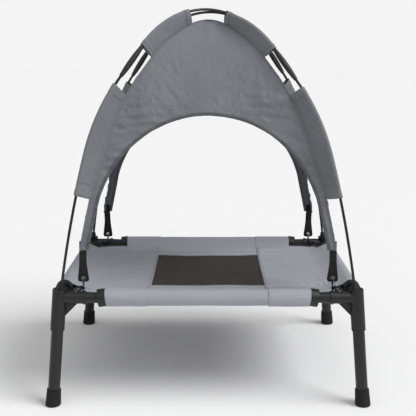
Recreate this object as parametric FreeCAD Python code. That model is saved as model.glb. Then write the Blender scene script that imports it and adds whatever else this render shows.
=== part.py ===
"""Raised dog bed with a clip-on canopy.

Four splayed tube legs in rubber feet plug into four moulded corner brackets. Four rails join the
brackets and carry a sewn mat with a mesh window. Two crossed, three-piece bent poles stand in the
brackets, and a four-panel canopy hangs under them from eight pole sleeves. Its corners end in straps
whose hooks catch a peg on each bracket.

Millimetres, +X to the right, +Y to the back, +Z up. The origin is on the floor under the middle.
"""
import FreeCAD, Part
import math
import os

os.makedirs("parts", exist_ok=True)
Vector = FreeCAD.Vector

# ---------------------------------------------------------------- driving dimensions
# Stance
foot_half_x = 290.5          # middle to a foot's centre on the floor, across
foot_half_y = 215.5          # middle to a foot's centre on the floor, front to back
leg_splay = 0.08             # outward run of a leg for each millimetre down, along X and along Y
rail_height = 205.0          # floor to the rails' axes

# Legs and feet
leg_radius = 11.0
leg_wall = 1.5
foot_floor = 6.0             # rubber under a leg's end
foot_height = 31.0
foot_bottom_radius = 14.6
foot_top_radius = 13.0
foot_edge_round = 2.5
leg_slip = 0.10              # radial play of a leg in its bracket
foot_slip = 0.05             # radial play of a foot on its leg

# Corner brackets
socket_radius = 13.0
socket_bottom = 144.0        # floor to the socket's mouth
socket_depth = 47.0          # how far a leg goes in
socket_top = 221.5           # floor to the top of the bracket's corner
arm_radius = 11.2
ridge_radius = 12.6
ridge_width = 5.0
ridge_reach = 44.0           # corner axis to the ridge on the long arm
neck_radius = 9.4
long_arm = 72.0              # corner axis to the collar on the arm along X
short_arm = 44.0             # corner axis to the collar on the arm along Y
collar_radius = 16.6
collar_length = 14.0
collar_lean = 8.0            # degrees that a collar's top leans towards the corner
collar_seat = 6.0            # depth of the rail's seat in the collar
spigot_length = 24.0         # spigot inside the rail, past the rail's end
gusset_reach = 33.5
gusset_drop = 35.5           # arm's axis to the gusset's lower tip
gusset_thickness = 5.0
gusset_fall = 1.5            # depth of its thin end
gusset_root = 4.0            # how far it starts inside the socket
neck_step = 0.6              # step down from the arm to its neck
boss_base_radius = 7.2
boss_top_radius = 4.4
boss_height = 11.0

# Rails
rail_radius = 12.5
rail_wall = 1.2
rail_slip = 0.2              # radial play of a rail in its collar and on its spigot

# Mat
hem_radius = 16.2            # outside of the pocket round the front and back rails
side_hem_radius = 14.8       # the same round the side rails
strip_hem_radius = 15.2      # the same on the single-layer middle strips
pocket_play = 0.3            # radial play of a pocket on its rail
pocket_tail = 32.0           # rail's axis to the pocket's stitched tip
web_drop = 1.0               # rail's axis down to the mat's top face
web_thickness = 2.4
window_half_x = 111.0
window_half_y = 110.0
cut_inset = 17.5             # corner cut: its ends, from the rails' axes
cut_corner_x = 18.0          # corner cut: its knee, from the corner axis
cut_corner_y = 25.0
binding_width = 6.0          # bound edge of a corner cut
sew_gap = 0.15               # gap between sewn neighbours
binding_extra = 0.4          # how far the corner binding stands proud of the web, each face
window_inset = 0.6           # mesh faces, in from the web's faces
web_lap = 1.0                # web into a pocket's tip

# Canopy poles
pole_radius = 2.5
pole_slip = 0.1
pole_insertion = 24.0        # pole below the bracket's top
pole_inboard = 3.0           # pole's foot, inward from the bracket's corner axis
apex_height = 726.8          # floor to the mean of the two poles' axes at the crossing
crossing_gap = 0.2           # gap between the crossing poles
tilt_foot = 9.6              # inward tilt of a pole at its foot, degrees from upright
tilt_side = 17.1             # tilt at the end of the long side bend
tilt_ferrule = 40.9          # tilt of the straight stretch in the ferrule
shoulder_radius = 376.0
straight_length = 79.0
ferrule_length = 72.0
ferrule_end_radius = 3.5
ferrule_middle_radius = 5.5
ferrule_slip = 0.05
rod_end_gap = 1.0

# Canopy
fabric_thickness = 1.6
leg_end_height = 288.0       # floor to the lower end of a canopy leg
hang_leg = 27.0              # pole's axis to the corner seam at the canopy leg's end
hang_bottom_sleeve = 28.5    # the same at the lower sleeve's lower end
hang_shoulder = 36.0         # at the middle of the lower sleeve
hang_ferrule = 26.5          # at the ferrule
hang_crown = 27.5            # at the middle of the upper sleeve
hang_apex = 17.5             # at the crossing
leg_width = 16.0             # canopy leg, seam to the arch's edge
arch_shoulder_front = 2.0    # extra fabric beside an arch at its tangent height, front and back
arch_shoulder_side = 6.0     # the same on the sides
arch_top = 533.0             # floor to the top of each arched opening
arch_rise = 220.0            # height of the arch's elliptical part
arch_tangent = 375.0         # floor to where the ellipse meets the straight legs
trim_width = 6.5             # bound edge of an arch
trim_extra = 0.5             # how far the trim stands proud of the fabric, each face
crown_hole = 2.0             # half width of the open point where the four panels meet

# Pole sleeves
sleeve_low_height = 389.0    # floor to the lower end of a lower sleeve
shoulder_height = 475.0      # floor to where a corner seam hangs furthest from its pole
sleeve_top_height = 586.0    # floor to the upper end of a lower sleeve
crown_sleeve_reach = 46.0    # crossing to the upper end of an upper sleeve, in plan
sleeve_ferrule_gap = 0.6     # between a ferrule's end and the upper sleeve
sleeve_radius = 3.4
flap_thickness = 2.4
sleeve_gap = 0.5             # between a flap's sewn edge and the panels

# Straps, eyelets and hooks
eyelet_height = 234.5
strap_x_inset = 41.7         # corner axis at rail height to the strap, along X
strap_y_inset = 25.1
strap_thickness = 1.8
strap_top_half = 6.8
strap_top_gap = 2.0          # canopy leg's end down to the strap
strap_bottom_half = 10.3
strap_flare_top = 27.0       # eyelet up to the start of the flare
strap_tip = 6.6              # eyelet down to the strap's end
strap_chamfer = 3.0
eyelet_bore = 2.5
eyelet_barrel = 2.9
eyelet_flange = 4.5
eyelet_lip = 0.5
wire_radius = 1.3
hook_ring = 5.5
hook_bend = 6.6
hook_tip = 3.0
peg_radius = 3.0
peg_head_radius = 4.4
peg_head_length = 2.0
peg_below_bend = 0.8         # peg's axis below the hook's bend centre
peg_height = 213.0
peg_past_hook = 8.5          # peg's end past the hook's plane

# ---------------------------------------------------------------- sizes that follow
corner_x = foot_half_x - leg_splay * rail_height
corner_y = foot_half_y - leg_splay * rail_height
leg_slant = math.sqrt(1.0 + 2.0 * leg_splay ** 2)
leg_stop = socket_bottom + socket_depth
diagonal = math.hypot(corner_x, corner_y)
plan_cos = corner_x / diagonal
plan_sin = corner_y / diagonal
mouth_x = foot_half_x - leg_splay * socket_top
mouth_y = foot_half_y - leg_splay * socket_top
pole_foot = mouth_x * plan_cos + mouth_y * plan_sin - pole_inboard
web_top = rail_height - web_drop
web_bottom = web_top - web_thickness
hook_x = corner_x - strap_x_inset
hook_y = corner_y - strap_y_inset
peg_x = hook_x + hook_bend
corners = {
    "front_left": (-1, -1),
    "front_right": (1, -1),
    "back_left": (-1, 1),
    "back_right": (1, 1),
}


# ---------------------------------------------------------------- helpers
def save(name, shape):
    """Write one node's solids."""
    solids = shape.Solids
    for solid in solids:
        if not solid.isValid():
            raise ValueError(name + " has an invalid solid")
    group = solids[0] if len(solids) == 1 else Part.makeCompound(solids)
    group.exportStep("parts/" + name + ".step")


def mirrored(shape, sign_x, sign_y):
    """A shape of the back right quarter, carried to another corner."""
    result = shape
    if sign_x < 0:
        result = result.mirror(Vector(0, 0, 0), Vector(1, 0, 0))
    if sign_y < 0:
        result = result.mirror(Vector(0, 0, 0), Vector(0, 1, 0))
    return result


def block(low, high):
    """A box from its lowest to its highest corner."""
    size = Vector(*high) - Vector(*low)
    return Part.makeBox(size.x, size.y, size.z, Vector(*low))


def prism(points, push):
    """A flat outline pushed along a vector."""
    closed = [Vector(*p) for p in points]
    closed.append(closed[0])
    return Part.Face(Part.makePolygon(closed)).extrude(Vector(*push))


def rod(edges, radius):
    """A round bar along tangent edges."""
    path = Part.Wire(edges)
    start = edges[0].valueAt(edges[0].FirstParameter)
    heading = edges[0].tangentAt(edges[0].FirstParameter)
    section = Part.Wire([Part.makeCircle(radius, start, heading)])
    return path.makePipeShell([section], True, False)


def line_edge(start, end):
    return Part.LineSegment(start, end).toShape()


def arc_edge(start, middle, end):
    return Part.Arc(start, middle, end).toShape()


# ---------------------------------------------------------------- legs and feet
def leg_point(height):
    """A point on the back right leg's axis."""
    return Vector(foot_half_x - leg_splay * height, foot_half_y - leg_splay * height, height)


leg_direction = Vector(-leg_splay, -leg_splay, 1.0)
leg_direction.normalize()


def make_leg():
    bottom = foot_floor
    length = (leg_stop - bottom) * leg_slant
    tube = Part.makeCylinder(leg_radius, length, leg_point(bottom), leg_direction)
    hollow = Part.makeCylinder(leg_radius - leg_wall, length, leg_point(bottom), leg_direction)
    return tube.cut(hollow)


def make_foot():
    """A rubber cap, cut level at the floor."""
    dip = foot_bottom_radius * 2.0 * leg_splay
    height = foot_height + dip
    start = leg_point(-dip)
    cap = Part.makeCone(foot_bottom_radius, foot_top_radius, height * leg_slant, start, leg_direction)
    floor_cut = block(
        (foot_half_x - 60, foot_half_y - 60, -30),
        (foot_half_x + 60, foot_half_y + 60, 0),
    )
    cap = cap.cut(floor_cut)
    rim = [edge for edge in cap.Edges if edge.BoundBox.ZMax < 0.01]
    cap = cap.makeFillet(foot_edge_round, rim)
    seat = Part.makeCylinder(
        leg_radius + foot_slip, foot_height * 2, leg_point(foot_floor - foot_slip), leg_direction
    )
    return cap.cut(seat)


# ---------------------------------------------------------------- canopy pole path
search_steps = 60


def pole_pieces(apex):
    """The bends of half an arch: kind, start tilt, end tilt, radius or length.

    The two end bends take the radii that carry the pole from its foot to the apex.
    """
    foot = math.radians(tilt_foot)
    side = math.radians(tilt_side)
    straight = math.radians(tilt_ferrule)
    inward = pole_foot
    inward -= shoulder_radius * (math.cos(side) - math.cos(straight))
    inward -= straight_length * math.sin(straight)
    upward = apex - socket_top
    upward -= shoulder_radius * (math.sin(straight) - math.sin(side))
    upward -= straight_length * math.cos(straight)
    a11 = math.cos(foot) - math.cos(side)
    a12 = math.cos(straight)
    a21 = math.sin(side) - math.sin(foot)
    a22 = 1.0 - math.sin(straight)
    scale = a11 * a22 - a12 * a21
    side_radius = (inward * a22 - a12 * upward) / scale
    crown_radius = (a11 * upward - a21 * inward) / scale
    return [
        ("bend", foot, side, side_radius),
        ("bend", side, straight, shoulder_radius),
        ("straight", straight, straight, straight_length),
        ("bend", straight, math.pi / 2, crown_radius),
    ]


def path_state(pieces, station):
    """Reach, height and tilt at a station: 0 at the foot, 1 to 3 at the joints of the bends, 4 at the apex."""
    reach = pole_foot
    height = socket_top
    tilt = pieces[0][1]
    for index, (kind, tilt_a, tilt_b, size) in enumerate(pieces):
        share = min(max(station - index, 0.0), 1.0)
        if share <= 0.0:
            break
        if kind == "straight":
            reach -= size * share * math.sin(tilt_a)
            height += size * share * math.cos(tilt_a)
            tilt = tilt_a
        else:
            tilt = tilt_a + (tilt_b - tilt_a) * share
            reach -= size * (math.cos(tilt_a) - math.cos(tilt))
            height += size * (math.sin(tilt) - math.sin(tilt_a))
    return reach, height, tilt


def station_at_height(pieces, height):
    """The station where the path reaches a height."""
    low = 0.0
    high = 4.0
    for _ in range(search_steps):
        middle = (low + high) / 2
        if path_state(pieces, middle)[1] < height:
            low = middle
        else:
            high = middle
    return low


def station_at_reach(pieces, wanted):
    """The station where the path comes within a reach of the crossing."""
    low = 0.0
    high = 4.0
    for _ in range(search_steps):
        middle = (low + high) / 2
        if path_state(pieces, middle)[0] > wanted:
            low = middle
        else:
            high = middle
    return low


def in_diagonal(reach, height, sign_x=1, sign_y=1):
    """A point of the upright diagonal plane."""
    return Vector(sign_x * reach * plan_cos, sign_y * reach * plan_sin, height)


mean_pieces = pole_pieces(apex_height)
half_crossing = pole_radius + crossing_gap / 2
upper_pieces = pole_pieces(apex_height + half_crossing)
lower_pieces = pole_pieces(apex_height - half_crossing)
corner_pieces = {
    "front_left": upper_pieces,
    "back_right": upper_pieces,
    "front_right": lower_pieces,
    "back_left": lower_pieces,
}
seam_rise = hang_leg * math.sin(math.radians(tilt_foot))
station_leg_end = station_at_height(mean_pieces, leg_end_height + seam_rise)
station_sleeve_low = station_at_height(mean_pieces, sleeve_low_height)
station_shoulder = station_at_height(mean_pieces, shoulder_height)
station_ferrule = 2.35       # where the seam hangs nearest beside the ferrule
ferrule_middle = 2.5
ferrule_reach = (ferrule_length / 2 + sleeve_ferrule_gap) / straight_length
station_sleeve_top = min(station_at_height(mean_pieces, sleeve_top_height), ferrule_middle - ferrule_reach)
station_crown_low = ferrule_middle + ferrule_reach
station_crown_middle = 3.35
station_crown_top = station_at_reach(mean_pieces, crown_sleeve_reach)
hang_stations = [
    (station_leg_end, hang_leg),
    (station_sleeve_low, hang_bottom_sleeve),
    (station_shoulder, hang_shoulder),
    (station_ferrule, hang_ferrule),
    (station_crown_middle, hang_crown),
    (4.0, hang_apex),
]


def hang_at(station):
    """Distance from the pole's axis to the corner seam, eased between its named values."""
    for (start, a), (end, b) in zip(hang_stations, hang_stations[1:]):
        if station <= end:
            share = min(max((station - start) / (end - start), 0.0), 1.0)
            ease = share * share * (3 - 2 * share)
            return a + (b - a) * ease
    return hang_apex


def offset_point(pieces, station, inward):
    """Reach and height of a point on the inner side of a pole's axis."""
    reach, height, tilt = path_state(pieces, station)
    return reach - inward * math.cos(tilt), height - inward * math.sin(tilt)


def stations(start, end, count):
    return [start + (end - start) * i / (count - 1) for i in range(count)]


def piece_edge(pieces, start, end, place):
    """An edge along one bend between two stations."""
    ends = [place(*path_state(pieces, s)[:2]) for s in (start, (start + end) / 2, end)]
    if pieces[int((start + end) / 2)][0] == "straight":
        return line_edge(ends[0], ends[2])
    return arc_edge(*ends)


# ---------------------------------------------------------------- corner brackets
def arm_parts(along, reach, ridge_at):
    """One arm with its ridge, neck and leaning collar. along is -X or -Y from the corner axis."""
    start = Vector(corner_x, corner_y, rail_height)
    lean = math.radians(collar_lean)
    ridge = Part.makeCylinder(ridge_radius, ridge_width, start + along * ridge_at, along)
    barrel = Part.makeCylinder(arm_radius, ridge_at + ridge_width, start, along)
    neck_length = reach + collar_length / 2 - ridge_at
    neck = Part.makeCone(arm_radius - neck_step, neck_radius, neck_length, start + along * ridge_at, along)
    axis = along * math.cos(lean) + Vector(0, 0, math.sin(lean))
    centre = start + along * (reach + collar_length / 2)
    collar = Part.makeCylinder(collar_radius, collar_length, centre - axis * (collar_length / 2), axis)
    return [barrel, ridge, neck, collar]


def rail_end(reach):
    """Distance from the corner axis to a rail's end."""
    return reach + collar_length - collar_seat


def rail_seat(along, reach):
    """The bore in a collar that takes the rail, and the spigot that fills the rail."""
    start = Vector(corner_x, corner_y, rail_height)
    floor = rail_end(reach) - rail_slip
    bore = Part.makeCylinder(rail_radius + rail_slip, collar_length * 3, start + along * floor, along)
    spigot_radius = rail_radius - rail_wall - rail_slip
    spigot = Part.makeCylinder(spigot_radius, spigot_length + rail_slip + 1, start + along * (floor - 1), along)
    return bore, spigot


def gusset(along, across):
    """A triangular rib under an arm."""
    start = Vector(corner_x, corner_y, rail_height)
    half = gusset_thickness / 2
    top = -(arm_radius - 2.0)
    outline = [
        (0.0, top),
        (gusset_reach, top),
        (gusset_reach, top - gusset_fall),
        (socket_radius - gusset_root, -gusset_drop),
        (0.0, -gusset_drop),
    ]
    points = []
    for out, up in outline:
        points.append(tuple(start + along * out + Vector(0, 0, up) - across * half))
    return prism(points, tuple(across * gusset_thickness))


def make_bracket(pieces):
    """The back right bracket: leg socket, two arms, ribs, pole boss and hook peg."""
    to_left = Vector(-1, 0, 0)
    to_front = Vector(0, -1, 0)
    level = block(
        (corner_x - 80, corner_y - 80, socket_top),
        (corner_x + 80, corner_y + 80, socket_top + 40),
    )
    socket = Part.makeCylinder(
        socket_radius, (socket_top - socket_bottom + 6) * leg_slant, leg_point(socket_bottom), leg_direction
    ).cut(level)
    parts = arm_parts(to_left, long_arm, ridge_reach)
    parts += arm_parts(to_front, short_arm, short_arm - ridge_width - 4.0)
    parts.append(gusset(to_left, to_front))
    parts.append(gusset(to_front, to_left))
    reach, height, tilt = path_state(pieces, 0.0)
    upward = in_diagonal(-math.sin(tilt), math.cos(tilt))
    base = in_diagonal(reach, height)
    parts.append(Part.makeCone(boss_base_radius, boss_top_radius, boss_height + 3, base - upward * 3, upward))
    peg_start = Vector(peg_x, corner_y - arm_radius * 0.5, peg_height)
    peg_end = hook_y - peg_past_hook
    peg_length = peg_start.y - peg_end
    parts.append(Part.makeCylinder(peg_radius, peg_length, peg_start, to_front))
    head_start = Vector(peg_x, peg_end + peg_head_length, peg_height)
    parts.append(Part.makeCylinder(peg_head_radius, peg_head_length, head_start, to_front))
    body = socket.fuse(parts)
    body = body.removeSplitter()
    leg_bore_start = leg_point(socket_bottom - 20)
    leg_bore_length = (leg_stop - socket_bottom + 20) * leg_slant
    body = body.cut(Part.makeCylinder(leg_radius + leg_slip, leg_bore_length, leg_bore_start, leg_direction))
    pole_bore_start = base - upward * (pole_insertion + 0.5)
    body = body.cut(Part.makeCylinder(pole_radius + pole_slip, pole_insertion + 60, pole_bore_start, upward))
    for along, arm_reach in ((to_left, long_arm), (to_front, short_arm)):
        bore, spigot = rail_seat(along, arm_reach)
        body = body.cut(bore).fuse(spigot)
    return body.removeSplitter()


# ---------------------------------------------------------------- rails
def make_rail(along_x):
    """The rail at the back, along X, or the rail at the right, along Y."""
    if along_x:
        length = 2 * (corner_x - rail_end(long_arm))
        start = Vector(-length / 2, corner_y, rail_height)
        heading = Vector(1, 0, 0)
    else:
        length = 2 * (corner_y - rail_end(short_arm))
        start = Vector(corner_x, -length / 2, rail_height)
        heading = Vector(0, 1, 0)
    tube = Part.makeCylinder(rail_radius, length, start, heading)
    return tube.cut(Part.makeCylinder(rail_radius - rail_wall, length, start, heading))


# ---------------------------------------------------------------- mat
def pocket(along_x, start, end, radius):
    """A hem pocket round the back rail (along X) or the right rail (along Y), with its sewn tail."""
    half_web = web_thickness / 2
    tip_height = web_top - half_web - rail_height
    rise = math.atan2(radius - half_web, pocket_tail)
    touch = Vector(-radius * math.sin(rise), radius * math.cos(rise), 0)
    touch_low = Vector(-radius * math.sin(rise), -radius * math.cos(rise), 0)
    tip_top = Vector(-pocket_tail, tip_height + half_web, 0)
    tip_low = Vector(-pocket_tail, tip_height - half_web, 0)
    outline = [
        line_edge(tip_low, touch_low),
        arc_edge(touch_low, Vector(radius, 0, 0), touch),
        line_edge(touch, tip_top),
        line_edge(tip_top, tip_low),
    ]
    hole = Part.Wire([Part.makeCircle(rail_radius + pocket_play)])
    face = Part.Face(Part.Wire(outline)).cut(Part.Face(hole))
    solid = face.extrude(Vector(0, 0, end - start))
    turn = FreeCAD.Matrix()
    if along_x:
        turn.A11, turn.A12, turn.A13, turn.A14 = 0, 0, 1, start
        turn.A21, turn.A22, turn.A23, turn.A24 = 1, 0, 0, corner_y
        turn.A31, turn.A32, turn.A33, turn.A34 = 0, 1, 0, rail_height
    else:
        turn.A11, turn.A12, turn.A13, turn.A14 = 1, 0, 0, corner_x
        turn.A21, turn.A22, turn.A23, turn.A24 = 0, 0, -1, end
        turn.A31, turn.A32, turn.A33, turn.A34 = 0, 1, 0, rail_height
    return solid.transformGeometry(turn)


def collar_clearance(along, reach):
    """What a pocket is trimmed by so that its end follows the leaning collar."""
    lean = math.radians(collar_lean)
    axis = along * math.cos(lean) + Vector(0, 0, math.sin(lean))
    face = Vector(corner_x, corner_y, rail_height) + along * (reach + collar_length / 2)
    face += axis * (collar_length / 2 + 2 * sew_gap)
    return Part.makeCylinder(2.2 * collar_radius, 60, face - axis * 60, axis)


def corner_outline(inset):
    """The corner cut in plan, from the collar beside one arm round to the other."""
    first = (corner_x - long_arm - collar_length, corner_y - cut_inset - inset)
    knee = (corner_x - cut_corner_x - inset, corner_y - cut_corner_y - inset)
    last = (corner_x - cut_inset - inset, corner_y - short_arm - collar_length)
    return first, knee, last


def corner_web(inset):
    """The web's rounded corner between the two pockets, up to the corner cut."""
    first, knee, last = corner_outline(inset)
    back = 70.0
    inner = max(first[0] - back, window_half_x + sew_gap)
    low = web_bottom
    points = [
        (first[0], first[1], low),
        (knee[0], knee[1], low),
        (last[0], last[1], low),
        (last[0], last[1] - back, low),
        (inner, last[1] - back, low),
        (inner, first[1], low),
    ]
    return prism(points, (0, 0, web_thickness))


def whole_from_quarter(quarter, both_x):
    """Mirror a back right quarter front to back, and across when both_x is set, and join."""
    half = quarter.fuse(quarter.mirror(Vector(0, 0, 0), Vector(0, 1, 0)))
    if both_x:
        half = half.fuse(half.mirror(Vector(0, 0, 0), Vector(1, 0, 0)))
    return half.removeSplitter()


def make_side_panel():
    """The right mat panel: the web beside the window, with pockets on three rails."""
    inner = window_half_x + sew_gap
    far_x = corner_x - pocket_tail + web_lap
    far_y = corner_y - pocket_tail + web_lap
    side_end = corner_y - short_arm - collar_length
    back_end = corner_x - long_arm - collar_length
    side_web = block((inner, 0, web_bottom), (far_x, side_end - web_lap, web_top))
    back_web = block((inner, 0, web_bottom), (back_end - web_lap, far_y, web_top))
    back_pocket = pocket(True, inner, corner_x - long_arm, hem_radius)
    back_pocket = back_pocket.cut(collar_clearance(Vector(-1, 0, 0), long_arm))
    side_pocket = pocket(False, 0.0, corner_y - short_arm, side_hem_radius)
    side_pocket = side_pocket.cut(collar_clearance(Vector(0, -1, 0), short_arm))
    quarter = side_web.fuse([back_web, back_pocket, side_pocket, corner_web(binding_width + sew_gap)])
    return whole_from_quarter(quarter, False)


def make_corner_binding():
    """The folded tape on the corner cut, slightly thicker than the web."""
    first, knee, last = corner_outline(0.0)
    first_in, knee_in, last_in = corner_outline(binding_width)
    low = web_bottom - binding_extra
    points = [(*first, low), (*knee, low), (*last, low), (*last_in, low), (*knee_in, low), (*first_in, low)]
    return prism(points, (0, 0, web_thickness + 2 * binding_extra))


def make_strip():
    """The back middle strip, from the rail to the window."""
    outer = window_half_x - sew_gap
    web = block((0, window_half_y + sew_gap, web_bottom), (outer, corner_y - pocket_tail + web_lap, web_top))
    hem = pocket(True, 0.0, outer, strip_hem_radius)
    half = web.fuse(hem)
    return half.fuse(half.mirror(Vector(0, 0, 0), Vector(1, 0, 0))).removeSplitter()


def make_window():
    half_x = window_half_x - sew_gap
    half_y = window_half_y - sew_gap
    return block((-half_x, -half_y, web_bottom + window_inset), (half_x, half_y, web_top - window_inset))


# ---------------------------------------------------------------- poles and ferrules
def make_side_pole(name):
    """From the bracket's hole to the middle of the ferrule."""
    sign_x, sign_y = corners[name]
    pieces = corner_pieces[name]

    def place(reach, height):
        return in_diagonal(reach, height, sign_x, sign_y)

    reach, height, tilt = path_state(pieces, 0.0)
    foot = place(reach + pole_insertion * math.sin(tilt), height - pole_insertion * math.cos(tilt))
    half_straight = ferrule_middle - rod_end_gap / 2 / straight_length
    edges = [
        line_edge(foot, place(reach, height)),
        piece_edge(pieces, 0.0, 1.0, place),
        piece_edge(pieces, 1.0, 2.0, place),
        piece_edge(pieces, 2.0, half_straight, place),
    ]
    return rod(edges, pole_radius)


def make_crown_pole(name, opposite):
    """From ferrule to ferrule over the crossing."""
    pieces = corner_pieces[name]
    half_straight = ferrule_middle + rod_end_gap / 2 / straight_length

    def place_near(reach, height):
        return in_diagonal(reach, height, *corners[name])

    def place_far(reach, height):
        return in_diagonal(reach, height, *corners[opposite])

    edges = [
        piece_edge(pieces, half_straight, 3.0, place_near),
        piece_edge(pieces, 3.0, 4.0, place_near),
        piece_edge(pieces, 4.0, 3.0, place_far),
        piece_edge(pieces, 3.0, half_straight, place_far),
    ]
    return rod(edges, pole_radius)


def make_ferrule(name):
    """A spindle-shaped joining tube on the straight stretch."""
    pieces = corner_pieces[name]
    reach, height, tilt = path_state(pieces, ferrule_middle)
    centre = in_diagonal(reach, height, *corners[name])
    upward = in_diagonal(-math.sin(tilt), math.cos(tilt), *corners[name])
    half = ferrule_length / 2
    outline = [
        line_edge(Vector(0, 0, -half), Vector(ferrule_end_radius, 0, -half)),
        arc_edge(
            Vector(ferrule_end_radius, 0, -half),
            Vector(ferrule_middle_radius, 0, 0),
            Vector(ferrule_end_radius, 0, half),
        ),
        line_edge(Vector(ferrule_end_radius, 0, half), Vector(0, 0, half)),
        line_edge(Vector(0, 0, half), Vector(0, 0, -half)),
    ]
    spindle = Part.Face(Part.Wire(outline)).revolve(Vector(0, 0, 0), Vector(0, 0, 1), 360)
    spindle.Placement = FreeCAD.Placement(centre, FreeCAD.Rotation(Vector(0, 0, 1), upward))
    bore = Part.makeCylinder(
        pole_radius + ferrule_slip, ferrule_length + 20, centre - upward * (half + 10), upward
    )
    return spindle.cut(bore)


# ---------------------------------------------------------------- canopy
def seam_point(station, inner=0.0):
    """Reach and height of the corner seam, or of a line further in."""
    return offset_point(mean_pieces, station, hang_at(station) + inner)


def seam_reach_at(height):
    """Reach of the seam at a height."""
    low = station_leg_end
    high = 4.0
    for _ in range(search_steps):
        middle = (low + high) / 2
        if seam_point(middle)[1] < height:
            low = middle
        else:
            high = middle
    return seam_point(low)[0]


def spline_edge(points):
    curve = Part.BSplineCurve()
    curve.interpolate(points)
    return curve.toShape()


def panel_band(across_x, thickness, shift):
    """The curved sheet behind the back panel (across_x) or the right panel, before its edges are cut."""
    share = plan_sin if across_x else plan_cos
    outer = []
    inner = []
    for station in stations(station_leg_end, 4.0, 19):
        reach, height = seam_point(station, -shift)
        outer.append((reach * share, height))
        reach_in, height_in = seam_point(station, thickness - shift)
        inner.append((reach_in * share, height_in))
    outer[-1] = (0.0, outer[-1][1])
    inner[-1] = (0.0, inner[-1][1])
    span = 2 * diagonal

    def place(point):
        if across_x:
            return Vector(-span / 2, point[0], point[1])
        return Vector(point[0], -span / 2, point[1])

    outer_points = [place(p) for p in outer]
    inner_points = [place(p) for p in inner]
    wire = Part.Wire([
        spline_edge(outer_points),
        line_edge(outer_points[-1], inner_points[-1]),
        spline_edge(list(reversed(inner_points))),
        line_edge(inner_points[0], outer_points[0]),
    ])
    push = Vector(span, 0, 0) if across_x else Vector(0, span, 0)
    return Part.Face(wire).extrude(push)


def wedge(across_x):
    """The quarter of the plan between the two diagonals, with a small gap at each seam."""
    far = 2.0
    tall = apex_height + 50
    gap = sew_gap / 2
    if across_x:
        points = [
            (0, crown_hole, 0),
            (crown_hole * plan_cos / plan_sin, crown_hole, 0),
            (far * corner_x - gap / plan_sin, far * corner_y, 0),
            (-far * corner_x + gap / plan_sin, far * corner_y, 0),
            (-crown_hole * plan_cos / plan_sin, crown_hole, 0),
        ]
    else:
        points = [
            (crown_hole, 0, 0),
            (crown_hole, crown_hole * plan_sin / plan_cos, 0),
            (far * corner_x, far * corner_y - gap / plan_cos, 0),
            (far * corner_x, -far * corner_y + gap / plan_cos, 0),
            (crown_hole, -crown_hole * plan_sin / plan_cos, 0),
        ]
    return prism(points, (0, 0, tall))


def arch_outline(across_x, inset):
    """Half widths and heights of an arched opening: an ellipse on two straight legs."""
    share = plan_cos if across_x else plan_sin
    centre = arch_top - arch_rise
    low = leg_end_height - 20
    shoulder = arch_shoulder_front if across_x else arch_shoulder_side
    tangent_half = seam_reach_at(arch_tangent) * share - leg_width - shoulder
    drop = (arch_tangent - centre) / arch_rise
    half_width = tangent_half / math.sqrt(1 - drop * drop)
    foot_half = seam_reach_at(leg_end_height + 1) * share - leg_width
    slope = (foot_half - tangent_half) / (arch_tangent - leg_end_height)
    points = []
    for i in range(13):
        angle = math.asin(drop) + (math.pi / 2 - math.asin(drop)) * i / 12
        points.append(((half_width + inset) * math.cos(angle), centre + (arch_rise + inset) * math.sin(angle)))
    low_half = tangent_half + inset + slope * (arch_tangent - low)
    return (low_half, low), points


def arch_cutter(across_x, inset):
    """The arched opening, pushed through the panel."""
    (low_half, low), curve = arch_outline(across_x, inset)
    depth = 2 * diagonal

    def place(half, height):
        if across_x:
            return Vector(half, 1, height)
        return Vector(1, half, height)

    right = [place(half, height) for half, height in curve]
    left = [place(-half, height) for half, height in reversed(curve[:-1])]
    top = spline_edge(right + left)
    wire = Part.Wire([
        line_edge(place(low_half, low), right[0]),
        top,
        line_edge(left[-1], place(-low_half, low)),
        line_edge(place(-low_half, low), place(low_half, low)),
    ])
    push = Vector(0, depth, 0) if across_x else Vector(depth, 0, 0)
    return Part.Face(wire).extrude(push)


def make_panel(across_x):
    """The back panel or the right panel."""
    sheet = panel_band(across_x, fabric_thickness, 0.0).common(wedge(across_x))
    return sheet.cut(arch_cutter(across_x, trim_width + sew_gap))


def make_trim(across_x):
    """The binding of one arch."""
    sheet = panel_band(across_x, fabric_thickness + 2 * trim_extra, trim_extra).common(wedge(across_x))
    band = arch_cutter(across_x, trim_width).cut(arch_cutter(across_x, 0.0))
    return sheet.common(band)


def make_sleeve(name, start, end):
    """A pocket round one stretch of pole, with a flap in to the corner seam."""
    pieces = corner_pieces[name]
    sign_x, sign_y = corners[name]

    def place(reach, height):
        return in_diagonal(reach, height, sign_x, sign_y)

    span = stations(start, end, 9)
    on_pole = [place(*offset_point(pieces, s, 0.0)) for s in span]
    at_seam = [place(*offset_point(mean_pieces, s, hang_at(s) - sleeve_gap)) for s in span]
    flap_wire = Part.Wire([
        spline_edge(on_pole),
        line_edge(on_pole[-1], at_seam[-1]),
        spline_edge(list(reversed(at_seam))),
        line_edge(at_seam[0], on_pole[0]),
    ])
    across = Vector(-sign_y * plan_sin, sign_x * plan_cos, 0)
    face = Part.Face(flap_wire)
    flap = face.extrude(across * flap_thickness)
    flap.translate(across * (-flap_thickness / 2))
    breaks = [start] + [float(k) for k in range(1, 4) if start < k < end] + [end]
    edges = [piece_edge(pieces, a, b, place) for a, b in zip(breaks, breaks[1:])]
    reach, height, tilt = path_state(pieces, start)
    back = place(reach, height) - place(reach - math.sin(tilt), height + math.cos(tilt))
    reach, height, tilt = path_state(pieces, end)
    ahead = place(reach - math.sin(tilt), height + math.cos(tilt)) - place(reach, height)
    first = edges[0].valueAt(edges[0].FirstParameter)
    last = edges[-1].valueAt(edges[-1].LastParameter)
    tube = rod(edges, sleeve_radius)
    bore = rod([line_edge(first + back * 5, first)] + edges + [line_edge(last, last + ahead * 5)],
               pole_radius + pole_slip)
    return flap.fuse(tube).cut(bore)


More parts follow.
